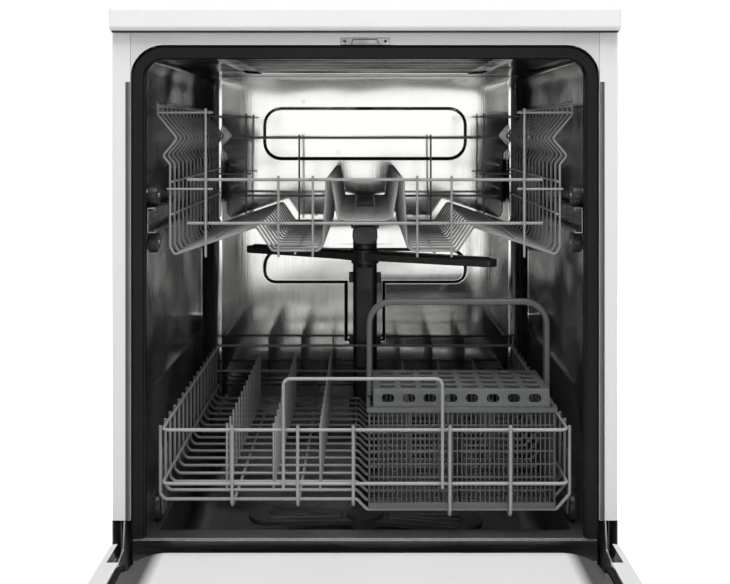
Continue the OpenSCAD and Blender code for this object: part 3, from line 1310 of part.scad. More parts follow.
module lower_wheel_pair(d) {
  z = track_z + wheel_r + seat;
  color(black) both_sides() difference() {
    union() {
      pin_x(wheel_x0, wheel_x0 + wheel_w, front_y + d, z, wheel_r - 1);
      pin_x(wheel_x0 + 1, wheel_x0 + wheel_w - 1, front_y + d, z, wheel_r);
    }
    pin_x(wheel_x0 - 1, wheel_x0 + wheel_w + 1, front_y + d, z, 4 + run_gap / 2);
    // Hollows between the spokes
    for (a = [0 : 60 : 300]) pin_x(wheel_x0 - 1, wheel_x0 + 2.5, front_y + d + 10 * cos(a), z + 10 *
      sin(a), 3);
  }
}
module lower_front_wheels() lower_wheel_pair(wheel_front_d);
module lower_rear_wheels() lower_wheel_pair(wheel_rear_d);

cutlery_x1 = cutlery_x + cutlery_w;
cutlery_y0 = front_y + cutlery_front;
cutlery_y1 = cutlery_y0 + cutlery_d;
cutlery_z = lower_dip + wire_r + seat;
// Lattice wall drawn flat: slots between a base band and the rim
module lattice(l, cols) {
  h = cutlery_rim - cutlery_z;
  band = 7;
  pitch_x = (l - 8) / cols;
  pitch_z = (h - band - 8) / cutlery_rows;
  difference() {
    square([l, h]);
    for (i = [0 : cols - 1]) for (j = [0 : cutlery_rows - 1])
      translate([4 + i * pitch_x + 1, band + j * pitch_z + 1]) square([pitch_x - 2, pitch_z - 2]);
  }
}
module basket_body() {
  t = cutlery_wall;
  y0 = cutlery_y0 + t + weld;
  y1 = cutlery_y1 - t - weld;
  side_cols = floor((cutlery_d - 2 * t) / 11);
  floor_pitch = (cutlery_w - 14) / 10;
  color("#55595a") {
    // Front and rear walls, with the lip round the rim
    for (s = [-1, 1]) {
      y = s < 0 ? cutlery_y0 : cutlery_y1 - t;
      translate([cutlery_x, y + t, cutlery_z]) rotate([90, 0, 0]) linear_extrude(t)
        lattice(cutlery_w, cutlery_cols);
      block(cutlery_x - 2, cutlery_x1 + 2, s < 0 ? y - 2 : y, s < 0 ? y + t : y + t + 2, cutlery_rim - 6,
        cutlery_rim);
    }
    // End walls, clipped between the long ones
    for (s = [-1, 1]) {
      x = s < 0 ? cutlery_x : cutlery_x1 - t;
      translate([x, y0, cutlery_z]) rotate([90, 0, 90]) linear_extrude(t) lattice(y1 - y0, side_cols);
      block(s < 0 ? x - 2 : x, s < 0 ? x + t : x + t + 2, y0, y1, cutlery_rim - 6, cutlery_rim);
    }
    // Middle divider and floor grid
    block(cutlery_x + cutlery_w / 2 - 1, cutlery_x + cutlery_w / 2 + 1, y0, y1, cutlery_z + 2 + weld,
      cutlery_rim - 20);
    difference() {
      block(cutlery_x + t + weld, cutlery_x1 - t - weld, y0, y1, cutlery_z, cutlery_z + 2);
      for (i = [0 : 9]) for (j = [0 : 3]) block(cutlery_x + 10 + i * floor_pitch, cutlery_x + 5 + (i + 1) *
        floor_pitch, cutlery_y0 + 8 + j * 22, cutlery_y0 + 24 + j * 22, cutlery_z - 1, cutlery_z + 3);
    }
  }
}
module basket_lid() {
  z0 = cutlery_rim + seat;
  h = 19;
  pitch = (cutlery_w - 22) / 8;
  hole = pitch - 6.25;
  color("#5c6061") difference() {
    along_x(handle_x0 + handle_band + lid_gap, handle_x1 - handle_band - lid_gap)
      polygon([[cutlery_y0, z0], [cutlery_y0 + 2.4, z0], [cutlery_y0 + 11, z0 + h - 2.4],
      [cutlery_y1 - 2.4, z0 + h - 2.4], [cutlery_y1 - 2.4, z0], [cutlery_y1, z0], [cutlery_y1, z0 + h],
      [cutlery_y0 + 9, z0 + h]]);
    // Rows of holes that hold the cutlery, on the top and on the sloped front
    for (i = [0 : 7]) for (j = [0 : 3]) along_z(z0, z0 + h + 1)
      polygon(round_box(cutlery_x + 14 + i * pitch, cutlery_y0 + 15 + j * 21, cutlery_x + 14 + i * pitch +
        hole, cutlery_y0 + 29 + j * 21, 6));
    for (i = [0 : 7]) along_y(cutlery_y0 - 1, cutlery_y0 + 12)
      polygon(round_box(cutlery_x + 16 + i * pitch, z0 + 4.5, cutlery_x + 12 + i * pitch + hole, z0 + 13.5,
        4.4));
  }
}
handle_y = (cutlery_y0 + cutlery_y1) / 2;
handle_x0 = cutlery_x - 2;
handle_x1 = cutlery_x1 + 2;
module basket_handle() {
  z0 = cutlery_rim + seat;
  color("#55595a") difference() {
    along_y(handle_y - 6, handle_y + 6) polygon(arch_at(handle_x0, handle_x1, z0, cutlery_handle, 32));
    along_y(handle_y - 7, handle_y + 7)
      polygon(arch_at(handle_x0 + handle_band, handle_x1 - handle_band, z0 - 1, cutlery_handle -
        handle_band, 25));
  }
}
function arch_at(x0, x1, z0, z1, r) = [for (p = arch((x1 - x0) / 2, z0, z1, r))
  [p[0] + (x0 + x1) / 2, p[1]]];

worktop();
left_side_panel();
right_side_panel();
rear_panel();
front_frame();
latch_striker();
tub();
tub_seal();
base_tray();
feet();
plinth();
sump();
filter_plate();
circulation_pump();
drain_pump();
softener();
air_break_chamber();
inlet_valve();
drain_spigot();
terminal_box();
feed_tube();
hinge_brackets();
roller_pins();
filter_cup();
salt_cap();
lower_spray_arm();
upper_rails();
top_rollers();
bottom_rollers();
door_outer_panel();
door_inner_panel();
door_side_seals();
control_panel();
hinge_arms();
door_latch();
dispenser();
display_window();
dispenser_lid();
rinse_aid_cap();
power_button();
programme_button();
option_button();
start_button();
upper_side_wires();
upper_floor_wires();
upper_end_wires();
upper_wheel_brackets();
upper_feed_duct();
upper_front_wheels();
upper_rear_wheels();
upper_spray_arm();
lower_side_wires();
lower_floor_wires();
lower_end_wires();
lower_wheel_carriers();
lower_front_wheels();
lower_rear_wheels();
basket_body();
basket_lid();
basket_handle();
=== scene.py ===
"""Freestanding dishwasher with its door open and both racks in.

The frame gives every solid its place. This file rounds the edges of the solids, makes the racks'
bent wires and the cutlery basket in full detail, gives each piece its finish, and sets the stage.
"""

import json
import math

import bmesh
import bpy
from bpy.props import FloatProperty, FloatVectorProperty, IntProperty, PointerProperty
from mathutils import Matrix, Vector


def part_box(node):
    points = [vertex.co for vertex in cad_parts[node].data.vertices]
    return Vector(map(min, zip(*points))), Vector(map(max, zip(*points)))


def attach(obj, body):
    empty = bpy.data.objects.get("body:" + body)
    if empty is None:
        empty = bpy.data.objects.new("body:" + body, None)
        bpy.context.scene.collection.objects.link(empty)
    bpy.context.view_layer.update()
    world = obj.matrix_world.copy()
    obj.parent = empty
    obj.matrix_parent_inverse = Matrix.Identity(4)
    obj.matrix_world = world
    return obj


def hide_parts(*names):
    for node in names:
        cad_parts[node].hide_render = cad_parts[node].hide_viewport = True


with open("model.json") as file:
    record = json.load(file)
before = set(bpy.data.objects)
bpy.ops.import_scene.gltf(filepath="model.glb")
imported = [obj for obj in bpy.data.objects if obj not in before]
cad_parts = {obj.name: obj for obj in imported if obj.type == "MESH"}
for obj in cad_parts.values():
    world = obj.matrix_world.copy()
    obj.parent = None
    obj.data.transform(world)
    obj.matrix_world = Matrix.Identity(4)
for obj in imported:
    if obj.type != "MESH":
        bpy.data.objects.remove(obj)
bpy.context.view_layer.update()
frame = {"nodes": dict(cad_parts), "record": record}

bl_info = {
    "name": "Open dishwasher",
    "version": (1, 0, 0),
    "blender": (4, 5, 0),
    "location": "3D View > Sidebar > Dishwasher",
    "description": "Finishes, racks and basket of a freestanding dishwasher",
    "category": "Object",
}

# Depths are measured from the front flanges of the side panels
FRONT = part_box("left_side_panel")[0].y
SHEET_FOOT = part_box("left_side_panel")[0].z
TUB_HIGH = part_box("tub")[1]
PANEL_LOW, PANEL_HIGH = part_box("door_inner_panel")

SLOT_OF = {part["node"]: part["material_slot"] for part in frame["record"]["subparts"]}
BODY_OF = {
    node: body for body, nodes in frame["record"]["behaviour"]["bodies"].items() for node in nodes
}
# Solids that wear another finish than their slot's
LOOK_OF = {"upper_rails": "rail_steel", "door_inner_panel": "satin_steel_painted_sheen"}

# Width and steps of the rounded edges of each solid, in metres
CASE_EDGES = {
    "worktop": (0.0012, 2),
    "left_side_panel": (0.0004, 2),
    "right_side_panel": (0.0004, 2),
    "rear_panel": (0.0003, 2),
    "front_frame": (0.0003, 2),
    "latch_striker": (0.0003, 2),
    "base_tray": (0.0006, 2),
    "feet": (0.0012, 2),
    "plinth": (0.0004, 2),
    "sump": (0.0006, 2),
    "circulation_pump": (0.001, 2),
    "drain_pump": (0.001, 2),
    "softener": (0.0015, 2),
    "air_break_chamber": (0.001, 2),
    "inlet_valve": (0.0006, 2),
    "drain_spigot": (0.0005, 2),
    "terminal_box": (0.0008, 2),
    "hinge_brackets": (0.0003, 2),
    "roller_pins": (0.0004, 2),
}
TUB_EDGES = {
    "tub_seal": (0.0012, 3),
    "filter_plate": (0.0003, 1),
    "feed_tube": (0.0012, 2),
    "filter_cup": (0.0005, 2),
    "salt_cap": (0.0008, 2),
    "lower_spray_arm": (0.0009, 2),
    "upper_spray_arm": (0.0012, 2),
    "upper_rails": (0.0003, 1),
    "top_rollers": (0.0006, 2),
    "bottom_rollers": (0.0006, 2),
}
DOOR_EDGES = {
    "door_outer_panel": (0.0003, 2),
    "door_side_seals": (0.0004, 2),
    "control_panel": (0.0008, 3),
    "hinge_arms": (0.0004, 2),
    "door_latch": (0.0005, 2),
    "dispenser": (0.0006, 2),
    "display_window": (0.0003, 2),
    "dispenser_lid": (0.0006, 3),
    "rinse_aid_cap": (0.0006, 3),
    "power_button": (0.0005, 3),
    "programme_button": (0.0004, 3),
    "option_button": (0.0004, 3),
    "start_button": (0.0004, 3),
}
UPPER_RACK_EDGES = {
    "upper_wheel_brackets": (0.0008, 2),
    "upper_feed_duct": (0.001, 2),
    "upper_front_wheels": (0.0006, 2),
    "upper_rear_wheels": (0.0006, 2),
}
LOWER_RACK_EDGES = {
    "lower_wheel_carriers": (0.0008, 2),
    "lower_front_wheels": (0.0006, 2),
    "lower_rear_wheels": (0.0006, 2),
}
BASKET_EDGES = {"basket_lid": (0.0005, 2), "basket_handle": (0.0022, 3)}

# Thin pieces at the front of the case: X on the right, depth and height, each from low to high
MOUTH_STRIP = (0.2784, 0.2836, -0.0004, 0.0003, 0.2415, 0.7605)
MOUTH_BEAD = (0.2793, 0.2805, -0.0009, -0.0003, 0.2415, 0.7595)
CORNER_PLATE = (0.2988, 0.2998, 0.0005, 0.0398, SHEET_FOOT, 0.2408)
# Faces of the side sheets further out than this look into the case, not at the tub
SHEET_INSIDE = 0.291
# Black strip under the worktop's front edge, partly a painted shadow under its overhang
STRIP_INSET = 0.002
STRIP_FRONT, STRIP_REAR = FRONT - 0.0085, FRONT - 0.0003
STRIP_DROP, STRIP_LAP = 0.0016, 0.0002

# Shapes stamped in the tub's back and side walls, which lie within the reach of its outer faces
STAMP_REACH = 0.0048
STAMP_BOTTOM_REACH = 0.0023
STAMP_DEPTH = 0.003
STAMP_SLOPE = 0.004
STAMP_ROUNDING = 0.0012
STAMP_TURN = 14.0
STAMP_TOP = 0.75
BACK_STAMP_HALF = 0.18
BACK_STAMP_LOW = 0.34
SIDE_STAMP_LOW = 0.37
SIDE_STAMP_FRONT, SIDE_STAMP_REAR = FRONT + 0.06, FRONT + 0.45

# Where the tub's and the seal's steel changes: behind the lip, and below the mouth
LIP_REAR = FRONT + 0.008
LIP_TOP = 0.2195
SEAL_RUN_TOP = 0.2178
SEAL_RUN_HALF = 0.262
CEILING_BAND = 0.0035
TUB_SKIN = 0.0012

# Flat ribs across the tub's ceiling
RIB_COUNT = 10
RIB_FIRST = FRONT + 0.088
RIB_PITCH = 0.0345
RIB_HALF_WIDTH = 0.0145
RIB_HEIGHT = 0.0027
RIB_HALF_LENGTH = 0.165
RIB_STEPS = 12

# Outline of the inner door panel, bent down round a curve twice as wide as high
RIM_CORNER = 0.0405
RIM_ROUNDING = 0.026
RIM_FLATNESS = 2.0
PANEL_SHEET = 0.001
NEAR = 0.0002

# Walls of the cutlery basket: how far they stand in from its rim, and their thicknesses
BASKET_LIP = 0.002
BASKET_WALL = 0.0024
BASKET_BAND = 0.007
BASKET_RIM = 0.006
FLOOR_ROWS = 12
FLOOR_BAND = 0.003
FLOOR_THICKNESS = 0.002
DIVIDER_HALF = 0.001

# Copies of solids: points closer than this are one, and turns under this many degrees are flat
MERGE_DISTANCE = 0.000002
FLAT_TURN = 0.6
HARD_TURN = 32.0
CURVE_STEPS = 4

# Routes of the racks' wires, in millimetres
TOUCHING = 0.05
UPPER_SIDE = [(255, 736), (255, 722), (231, 693), (249, 672), (240, 661), (240, 560), (235, 550)]
UPPER_FLOOR = [
    (134, 584.5), (114, 555), (58, 555), (52, 561), (47, 644), (41, 644), (33, 595), (24, 592)
]
# End grids: heights of the two bars, and the places across of the short uprights
FRONT_GRID = ((589, 642.5), (-106, -64, 64, 106))
REAR_GRID = ((595, 690), (-108, 108))
LOWER_CROSS = [
    (-246, 348), (-246, 266), (-240, 260), (-10, 260), (2, 248), (230, 248), (246, 266), (246, 348)
]
LOWER_RUNNERS = ((-158, 260), (-80, 260), (-14, 260), (101, 248), (173, 248))
HAND_LOOP = [(-97, 278), (-97, 408), (92, 408), (92, 278)]
TINE_HEIGHT = 80
END_BEND = 10


def length_setting(name, description, default, low, high):
    """Setting of a length, shown to a tenth of a millimetre"""
    return FloatProperty(
        name=name,
        description=description,
        default=default,
        min=low,
        max=high,
        precision=4,
        unit="LENGTH",
    )


def count_setting(name, description, default, low, high):
    """Setting of a number of things"""
    return IntProperty(name=name, description=description, default=default, min=low, max=high)


def colour_setting(name, description, default):
    """Setting of a colour"""
    return FloatVectorProperty(
        name=name, description=description, default=default, min=0.0, max=1.0, subtype="COLOR"
    )


def power_setting(name, description, default):
    """Setting of a light's power"""
    return FloatProperty(
        name=name, description=description, default=default, min=0.0, unit="POWER"
    )


class RackSizes(bpy.types.PropertyGroup):
    """Sizes of the wires of both racks"""

    thin_wire: length_setting(
        "Thin wire",
        "Diameter of the upper rack's cross wires and of the tines",
        0.003,
        0.0025,
        0.0034,
    )
    thick_wire: length_setting(
        "Thick wire", "Diameter of the rims, runners and lower cross wires", 0.004, 0.0035, 0.0045
    )
    bend: length_setting("Bend", "Radius of a bend in the middle of a wire", 0.005, 0.002, 0.008)

    def in_millimetres(self):
        """Radius of a thin wire, of a thick wire and of a bend"""
        return self.thin_wire * 500, self.thick_wire * 500, self.bend * 1000


class BasketSizes(bpy.types.PropertyGroup):
    """Slots and walls of the cutlery basket"""

    columns: count_setting("Columns", "Slots along a long wall", 40, 20, 48)
    rows: count_setting("Rows", "Slots from floor to rim", 7, 4, 9)
    bar: length_setting("Bar", "Width of a bar between two slots", 0.0014, 0.0012, 0.0026)


class FinishColours(bpy.types.PropertyGroup):
    """Colours of the main finishes"""

    enamel: colour_setting(
        "Enamel", "Baked paint on the side panels and the door", (0.60, 0.608, 0.60)
    )
    stainless: colour_setting(
        "Stainless", "Sheet of the tub and of the inner door", (0.52, 0.515, 0.50)
    )
    rubber: colour_setting(
        "Rubber", "Seals round the mouth and along the door", (0.006, 0.0063, 0.006)
    )
    wire: colour_setting(
        "Wire coating", "Plastic coat on the wires of the racks", (0.235, 0.243, 0.232)
    )
    basket: colour_setting("Basket", "Plastic of the cutlery basket", (0.060, 0.066, 0.062))


class StageSettings(bpy.types.PropertyGroup):
    """Camera and lights"""

    distance: length_setting("Distance", "From the camera to the front flanges", 1.15, 0.8, 3.0)
    height: length_setting("Height", "Height of the camera above the floor", 0.706, 0.3, 1.5)
    lens: FloatProperty(
        name="Lens", description="Focal length in millimetres", default=47.9, min=20.0, max=120.0
    )
    key_power: power_setting("Front light", "Power of the large soft light", 11.5)
    top_power: power_setting("Top light", "Power of the light above the open door", 60.0)
    side_power: power_setting("Side lights", "Power of each tall light at the sides", 9.0)
    room: FloatProperty(
        name="Room",
        description="Strength of the even light all round",
        default=0.32,
        min=0.0,
        max=3.0,
    )


# Shader nodes

GROUPS = {}
FINISHES = {}
SURFACE = {"Colour": "Color", "Roughness": "Float", "Height": "Float"}


def new_group(name, inputs, outputs=SURFACE):
    """Shader group on a vector with a socket for each label and kind, and its two end nodes"""
    group = bpy.data.node_groups.new(name, "ShaderNodeTree")
    for way, sockets in (("INPUT", {"Vector": "Vector", **inputs}), ("OUTPUT", outputs)):
        for label, kind in sockets.items():
            group.interface.new_socket(label, in_out=way, socket_type="NodeSocket" + kind)
    return group, group.nodes.new("NodeGroupInput"), group.nodes.new("NodeGroupOutput")


def feed(tree, socket, value):
    """Link a socket to another node's output, or give it a constant"""
    if isinstance(value, bpy.types.NodeSocket):
        tree.links.new(value, socket)
    else:
        socket.default_value = value


def deliver(group, end, **results):
    """Link what a group makes to its outputs, and hand the group over"""
    for label, value in results.items():
        group.links.new(value, end.inputs[label])
    return group


def noise(tree, vector, scale, detail=3.0, roughness=0.5):
    """Noise texture on a vector"""
    node = tree.nodes.new("ShaderNodeTexNoise")
    for label, value in (
        ("Vector", vector),
        ("Scale", scale),
        ("Detail", detail),
        ("Roughness", roughness),
    ):
        feed(tree, node.inputs[label], value)
    return node.outputs["Fac"]


def remap(tree, value, low, high, to_low, to_high):
    """Value carried from one range to another, and held inside it"""
    node = tree.nodes.new("ShaderNodeMapRange")
    for label, end in (
        ("Value", value),
        ("From Min", low),
        ("From Max", high),
        ("To Min", to_low),
        ("To Max", to_high),
    ):
        feed(tree, node.inputs[label], end)
    return node.outputs["Result"]


def combine(tree, operation, *values):
    """Result of a math node"""
    node = tree.nodes.new("ShaderNodeMath")
    node.operation = operation
    for socket, value in zip(node.inputs, values):
        feed(tree, socket, value)
    return node.outputs["Value"]


def blend_colours(tree, factor, first, second):
    """Mix of two colours"""
    node = tree.nodes.new("ShaderNodeMix")
    node.data_type = "RGBA"
    feed(tree, node.inputs["Factor"], factor)
    # The sockets for colours come after those for numbers and vectors
    for socket, colour in ((node.inputs[6], first), (node.inputs[7], second)):
        feed(tree, socket, colour)
    return node.outputs[2]


def moulded_surface():
    """Moulded plastic: cloudy colour, fine grain and a slightly uneven gloss"""
    group, start, end = new_group(
        "Moulded surface",
        {
            "Colour": "Color",
            "Scuffed Colour": "Color",
            "Grain Scale": "Float",
            "Roughness Low": "Float",
            "Roughness High": "Float",
        },
    )
    given = start.outputs
    vector = given["Vector"]
    cloud = noise(group, vector, scale=14.0, detail=4.0, roughness=0.6)
    tint = remap(group, cloud, low=0.42, high=0.78, to_low=0.0, to_high=1.0)
    colour = blend_colours(group, tint, given["Colour"], given["Scuffed Colour"])
    patch = noise(group, vector, scale=38.0)
    rough = remap(group, patch, 0.3, 0.7, given["Roughness Low"], given["Roughness High"])
    grain = noise(group, vector, given["Grain Scale"], detail=1.0)
    return deliver(group, end, Colour=colour, Roughness=rough, Height=grain)


def rolled_sheet():
    """Rolled steel sheet: long streaks along one direction, gentle waves and dried water marks"""
    group, start, end = new_group(
        "Rolled sheet",
        {
            "Streaks": "Vector",
            "Colour": "Color",
            "Dull Colour": "Color",
            "Roughness Low": "Float",
            "Roughness High": "Float",
            "Marks": "Float",
        },
    )
    given = start.outputs
    vector = given["Vector"]
    stretch = group.nodes.new("ShaderNodeVectorMath")
    stretch.operation = "MULTIPLY"
    feed(group, stretch.inputs[0], vector)
    feed(group, stretch.inputs[1], given["Streaks"])
    streak = noise(group, stretch.outputs["Vector"], scale=1.0, detail=2.0)
    patch = noise(group, vector, scale=7.0)
    patch_share = combine(group, "MULTIPLY", patch, 0.55)
    both = combine(group, "MULTIPLY_ADD", streak, 0.45, patch_share)
    rough = remap(group, both, 0.36, 0.64, given["Roughness Low"], given["Roughness High"])
    # Rings and specks that drying water leaves
    spots = group.nodes.new("ShaderNodeTexVoronoi")
    spots.inputs["Scale"].default_value = 46.0
    spots.inputs["Randomness"].default_value = 1.0
    feed(group, spots.inputs["Vector"], vector)
    ring = remap(group, spots.outputs["Distance"], low=0.20, high=0.26, to_low=1.0, to_high=0.0)
    few = noise(group, vector, scale=11.0, detail=2.0)
    where = remap(group, few, low=0.55, high=0.72, to_low=0.0, to_high=given["Marks"])
    marks = combine(group, "MULTIPLY", ring, where)
    colour = blend_colours(group, marks, given["Colour"], given["Dull Colour"])
    duller = combine(group, "MULTIPLY_ADD", marks, 0.35, rough)
    wave = noise(group, vector, scale=5.5, detail=1.0)
    height = combine(group, "MULTIPLY_ADD", streak, 0.012, wave)
    return deliver(group, end, Colour=colour, Roughness=duller, Height=height)


def baked_paint():
    """Baked enamel: faint cloudiness and orange peel"""
    group, start, end = new_group(
        "Baked paint",
        {
            "Colour": "Color",
            "Worn Colour": "Color",
            "Roughness Low": "Float",
            "Roughness High": "Float",
        },
    )
    given = start.outputs
    vector = given["Vector"]
    cloud = noise(group, vector, scale=3.2, detail=2.0)
    tint = remap(group, cloud, low=0.3, high=0.8, to_low=0.0, to_high=0.7)
    colour = blend_colours(group, tint, given["Colour"], given["Worn Colour"])
    patch = noise(group, vector, scale=6.0, detail=1.0)
    rough = remap(group, patch, 0.2, 0.8, given["Roughness Low"], given["Roughness High"])
    peel = noise(group, vector, scale=420.0, detail=1.0)
    return deliver(group, end, Colour=colour, Roughness=rough, Height=peel)


def painted_flank_shade():
    """Painted shade: colour that turns darker outward, where the sheet's sides bend down"""
    group, start, end = new_group(
        "Painted flank shade",
        {"Colour": "Color", "Painted Shade Colour": "Color", "Inner": "Float", "Outer": "Float"},
        {"Colour": "Color"},
    )
    given = start.outputs
    split = group.nodes.new("ShaderNodeSeparateXYZ")
    feed(group, split.inputs["Vector"], given["Vector"])
    across = combine(group, "ABSOLUTE", split.outputs["X"])
    share = remap(group, across, given["Inner"], given["Outer"], to_low=0.0, to_high=1.0)
    colour = blend_colours(group, share, given["Colour"], given["Painted Shade Colour"])
    return deliver(group, end, Colour=colour)


def add_effect(tree, maker, values):
    """Node of the group that a maker builds, built once and laid on the object's own coordinates"""
    if maker.__name__ not in GROUPS:
        GROUPS[maker.__name__] = maker()
    place = tree.nodes.new("ShaderNodeTexCoord")
    effect = tree.nodes.new("ShaderNodeGroup")
    effect.node_tree = GROUPS[maker.__name__]
    for label, value in {"Vector": place.outputs["Object"], **values}.items():
        feed(tree, effect.inputs[label], value)
    return effect


def finish(name, maker, values, bump, metallic=0.0, coat=0.0, specular=0.5):
    """Make a finish whose colour, roughness and bump come from one shared group"""
    material = bpy.data.materials.new(name)
    material.use_nodes = True
    material.diffuse_color = values["Colour"]
    tree = material.node_tree
    effect = add_effect(tree, maker, values)
    relief = tree.nodes.new("ShaderNodeBump")
    for label, value in (
        ("Strength", 1.0),
        ("Distance", bump),
        ("Height", effect.outputs["Height"]),
    ):
        feed(tree, relief.inputs[label], value)
    shader = tree.nodes["Principled BSDF"]
    for label, value in (
        ("Base Color", effect.outputs["Colour"]),
        ("Roughness", effect.outputs["Roughness"]),
        ("Normal", relief.outputs["Normal"]),
        ("Metallic", metallic),
        ("Coat Weight", coat),
        ("Specular IOR Level", specular),
    ):
        feed(tree, shader.inputs[label], value)
    FINISHES[name] = material


def shade(colour, share=1.0):
    """A colour made darker, or lighter above 1, with full cover"""
    return (*(min(1.0, channel * share) for channel in colour[:3]), 1.0)


def gloss(rough):
    """Values of a group's two roughness sockets"""
    return {"Roughness Low": rough[0], "Roughness High": rough[1]}


def plastic(name, colour, rough, scuffed, grain=1400.0, bump=0.00003, coat=0.0, specular=0.5):
    """Make moulded plastic, its scuffs a share of its colour"""
    values = {
        "Colour": shade(colour),
        "Scuffed Colour": shade(colour, scuffed),
        "Grain Scale": grain,
        **gloss(rough),
    }
    finish(name, moulded_surface, values, bump, coat=coat, specular=specular)


def sheet_steel(name, colour, streaks, rough, bump, marks=0.0, metallic=1.0, specular=0.5):
    """Make bare rolled steel, its metallic share lower in the darkened and brightened copies that
    carry painted shade or sheen
    """
    values = {
        "Colour": shade(colour),
        "Dull Colour": shade(colour, 0.72),
        "Streaks": streaks,
        "Marks": marks,
        **gloss(rough),
    }
    finish(name, rolled_sheet, values, bump, metallic=metallic, specular=specular)


def enamel(name, colour, rough):
    """Make painted sheet"""
    values = {"Colour": shade(colour), "Worn Colour": shade(colour, 0.985), **gloss(rough)}
    finish(name, baked_paint, values, bump=0.00002, coat=0.25)


def paint_flank_shade(name, colour, inner, outer):
    """Paint shade into a finish, turning it to the colour between two distances from the middle
    plane
    """
    tree = FINISHES[name].node_tree
    base = tree.nodes["Principled BSDF"].inputs["Base Color"]
    values = {
        "Colour": base.links[0].from_socket,
        "Painted Shade Colour": shade(colour),
        "Inner": inner,
        "Outer": outer,
    }
    feed(tree, base, add_effect(tree, painted_flank_shade, values).outputs["Colour"])


def make_finishes(colours):
    """Make every finish of the machine, most of them by the record's slot name"""
    white, steel = tuple(colours.enamel), tuple(colours.stainless)
    upright, across = (700.0, 700.0, 9.0), (9.0, 700.0, 700.0)
    enamel("white_enamel", white, rough=(0.29, 0.37))
    enamel("frame_enamel", shade(white, 0.86), rough=(0.3, 0.42))
    for name, colour, streaks, rough, more in (
        ("stainless", steel, upright, (0.06, 0.13), {"bump": 0.0022, "marks": 0.2}),
        # Ceiling steel: stainless painted far darker with little metallic share, a painted shade on
        # the ceiling and its ribs
        (
            "ceiling_steel_painted_shade",
            shade(steel, 0.06),
            across,
            (0.14, 0.2),
            {"bump": 0.03, "metallic": 0.12, "specular": 0.1},
        ),
        # Wall steel: stainless painted darker, a painted shade on the tub's side walls and floor
        (
            "wall_steel_painted_shade",
            shade(steel, 0.16),
            upright,
            (0.1, 0.18),
            {"bump": 0.05, "marks": 0.2, "metallic": 0.6},
        ),
        ("lip_steel", shade(steel, 0.34), across, (0.2, 0.32), {"bump": 0.0004}),
        # Satin steel of the inner door panel: its light colour and diffuse share are a painted
        # sheen of reflected light
        (
            "satin_steel_painted_sheen",
            (0.86, 0.86, 0.85),
            (500.0, 9.0, 500.0),
            (0.46, 0.52),
            {"bump": 0.00005, "metallic": 0.45},
        ),
        (
            "rail_steel",
            (0.30, 0.305, 0.31),
            (300.0, 12.0, 300.0),
            (0.22, 0.34),
            {"bump": 0.0006, "marks": 0.2},
        ),
        (
            "zinc_sheet",
            (0.50, 0.51, 0.52),
            (120.0, 120.0, 40.0),
            (0.32, 0.5),
            {"bump": 0.0006, "marks": 0.5},
        ),
    ):
        sheet_steel(name, colour, streaks, rough, **more)
    # Painted shade on the bent flanks of the door's inner panel, darker outward across X
    paint_flank_shade("satin_steel_painted_sheen", (0.10, 0.10, 0.098), inner=0.229, outer=0.244)
    for name, colour, rough, scuffed, more in (
        (
            "white_laminate",
            shade(white, 1.02),
            (0.38, 0.5),
            0.97,
            {"grain": 900.0, "bump": 0.00002},
        ),
        (
            "white_plastic",
            white,
            (0.29, 0.37),
            0.96,
            {"grain": 900.0, "bump": 0.00001, "coat": 0.2},
        ),
        (
            "seal_rubber",
            tuple(colours.rubber),
            (0.42, 0.58),
            1.5,
            {"grain": 1800.0, "bump": 0.00004, "specular": 0.22},
        ),
        (
            "damping_felt",
            (0.02, 0.02, 0.02),
            (0.8, 0.95),
            1.5,
            {"grain": 900.0, "bump": 0.0002, "specular": 0.2},
        ),
        (
            "wire_coating",
            tuple(colours.wire),
            (0.34, 0.46),
            1.12,
            {"grain": 1600.0, "bump": 0.00002},
        ),
        ("window_gloss", (0.008, 0.009, 0.011), (0.06, 0.12), 1.4, {"bump": 0.000002, "coat": 0.5}),
        ("basket_grey", tuple(colours.basket), (0.32, 0.46), 1.25, {}),
        ("black_plastic", (0.016, 0.016, 0.016), (0.3, 0.46), 1.6, {}),
        ("wheel_plastic", (0.022, 0.022, 0.023), (0.3, 0.42), 1.6, {}),
        ("motor_black", (0.03, 0.032, 0.035), (0.4, 0.55), 1.4, {}),
        ("cream_plastic", (0.62, 0.60, 0.54), (0.36, 0.5), 0.93, {}),
        ("grey_fitting", (0.10, 0.105, 0.11), (0.36, 0.5), 1.25, {}),
        ("arm_black", (0.018, 0.018, 0.018), (0.29, 0.42), 1.6, {}),
        ("arm_grey", (0.045, 0.048, 0.047), (0.29, 0.4), 1.5, {}),
        ("dispenser_plastic", (0.05, 0.054, 0.058), (0.34, 0.48), 1.3, {}),
        ("rinse_blue", (0.07, 0.12, 0.16), (0.3, 0.44), 1.3, {}),
        ("button_plastic", (0.66, 0.68, 0.67), (0.28, 0.4), 0.95, {}),
        ("bracket_grey", (0.11, 0.118, 0.112), (0.36, 0.5), 1.25, {}),
        ("filter_grey", (0.13, 0.14, 0.15), (0.36, 0.5), 1.25, {}),
    ):
        plastic(name, colour, rough, scuffed, **more)


# Pieces


def add_piece(name, mesh, body, slot, replaced=(), look=None, smooth_angle=40.0):
    """Object of a finished mesh that rides on a body and wears a slot's finish, or another look"""
    piece = bpy.data.objects.new(name, mesh)
    bpy.context.scene.collection.objects.link(piece)
    mesh.materials.clear()
    mesh.materials.append(FINISHES[look or slot])
    mesh.shade_smooth()
    mesh.set_sharp_from_angle(angle=math.radians(smooth_angle))
    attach(piece, body)
    if replaced:
        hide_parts(*replaced)
    return piece


def wear(name, look, test):
    """Give the faces of a piece that pass the test a finish of their own"""
    mesh = bpy.data.objects[name].data
    mesh.materials.append(FINISHES[look])
    for face in mesh.polygons:
        if test(face):
            face.material_index = len(mesh.materials) - 1


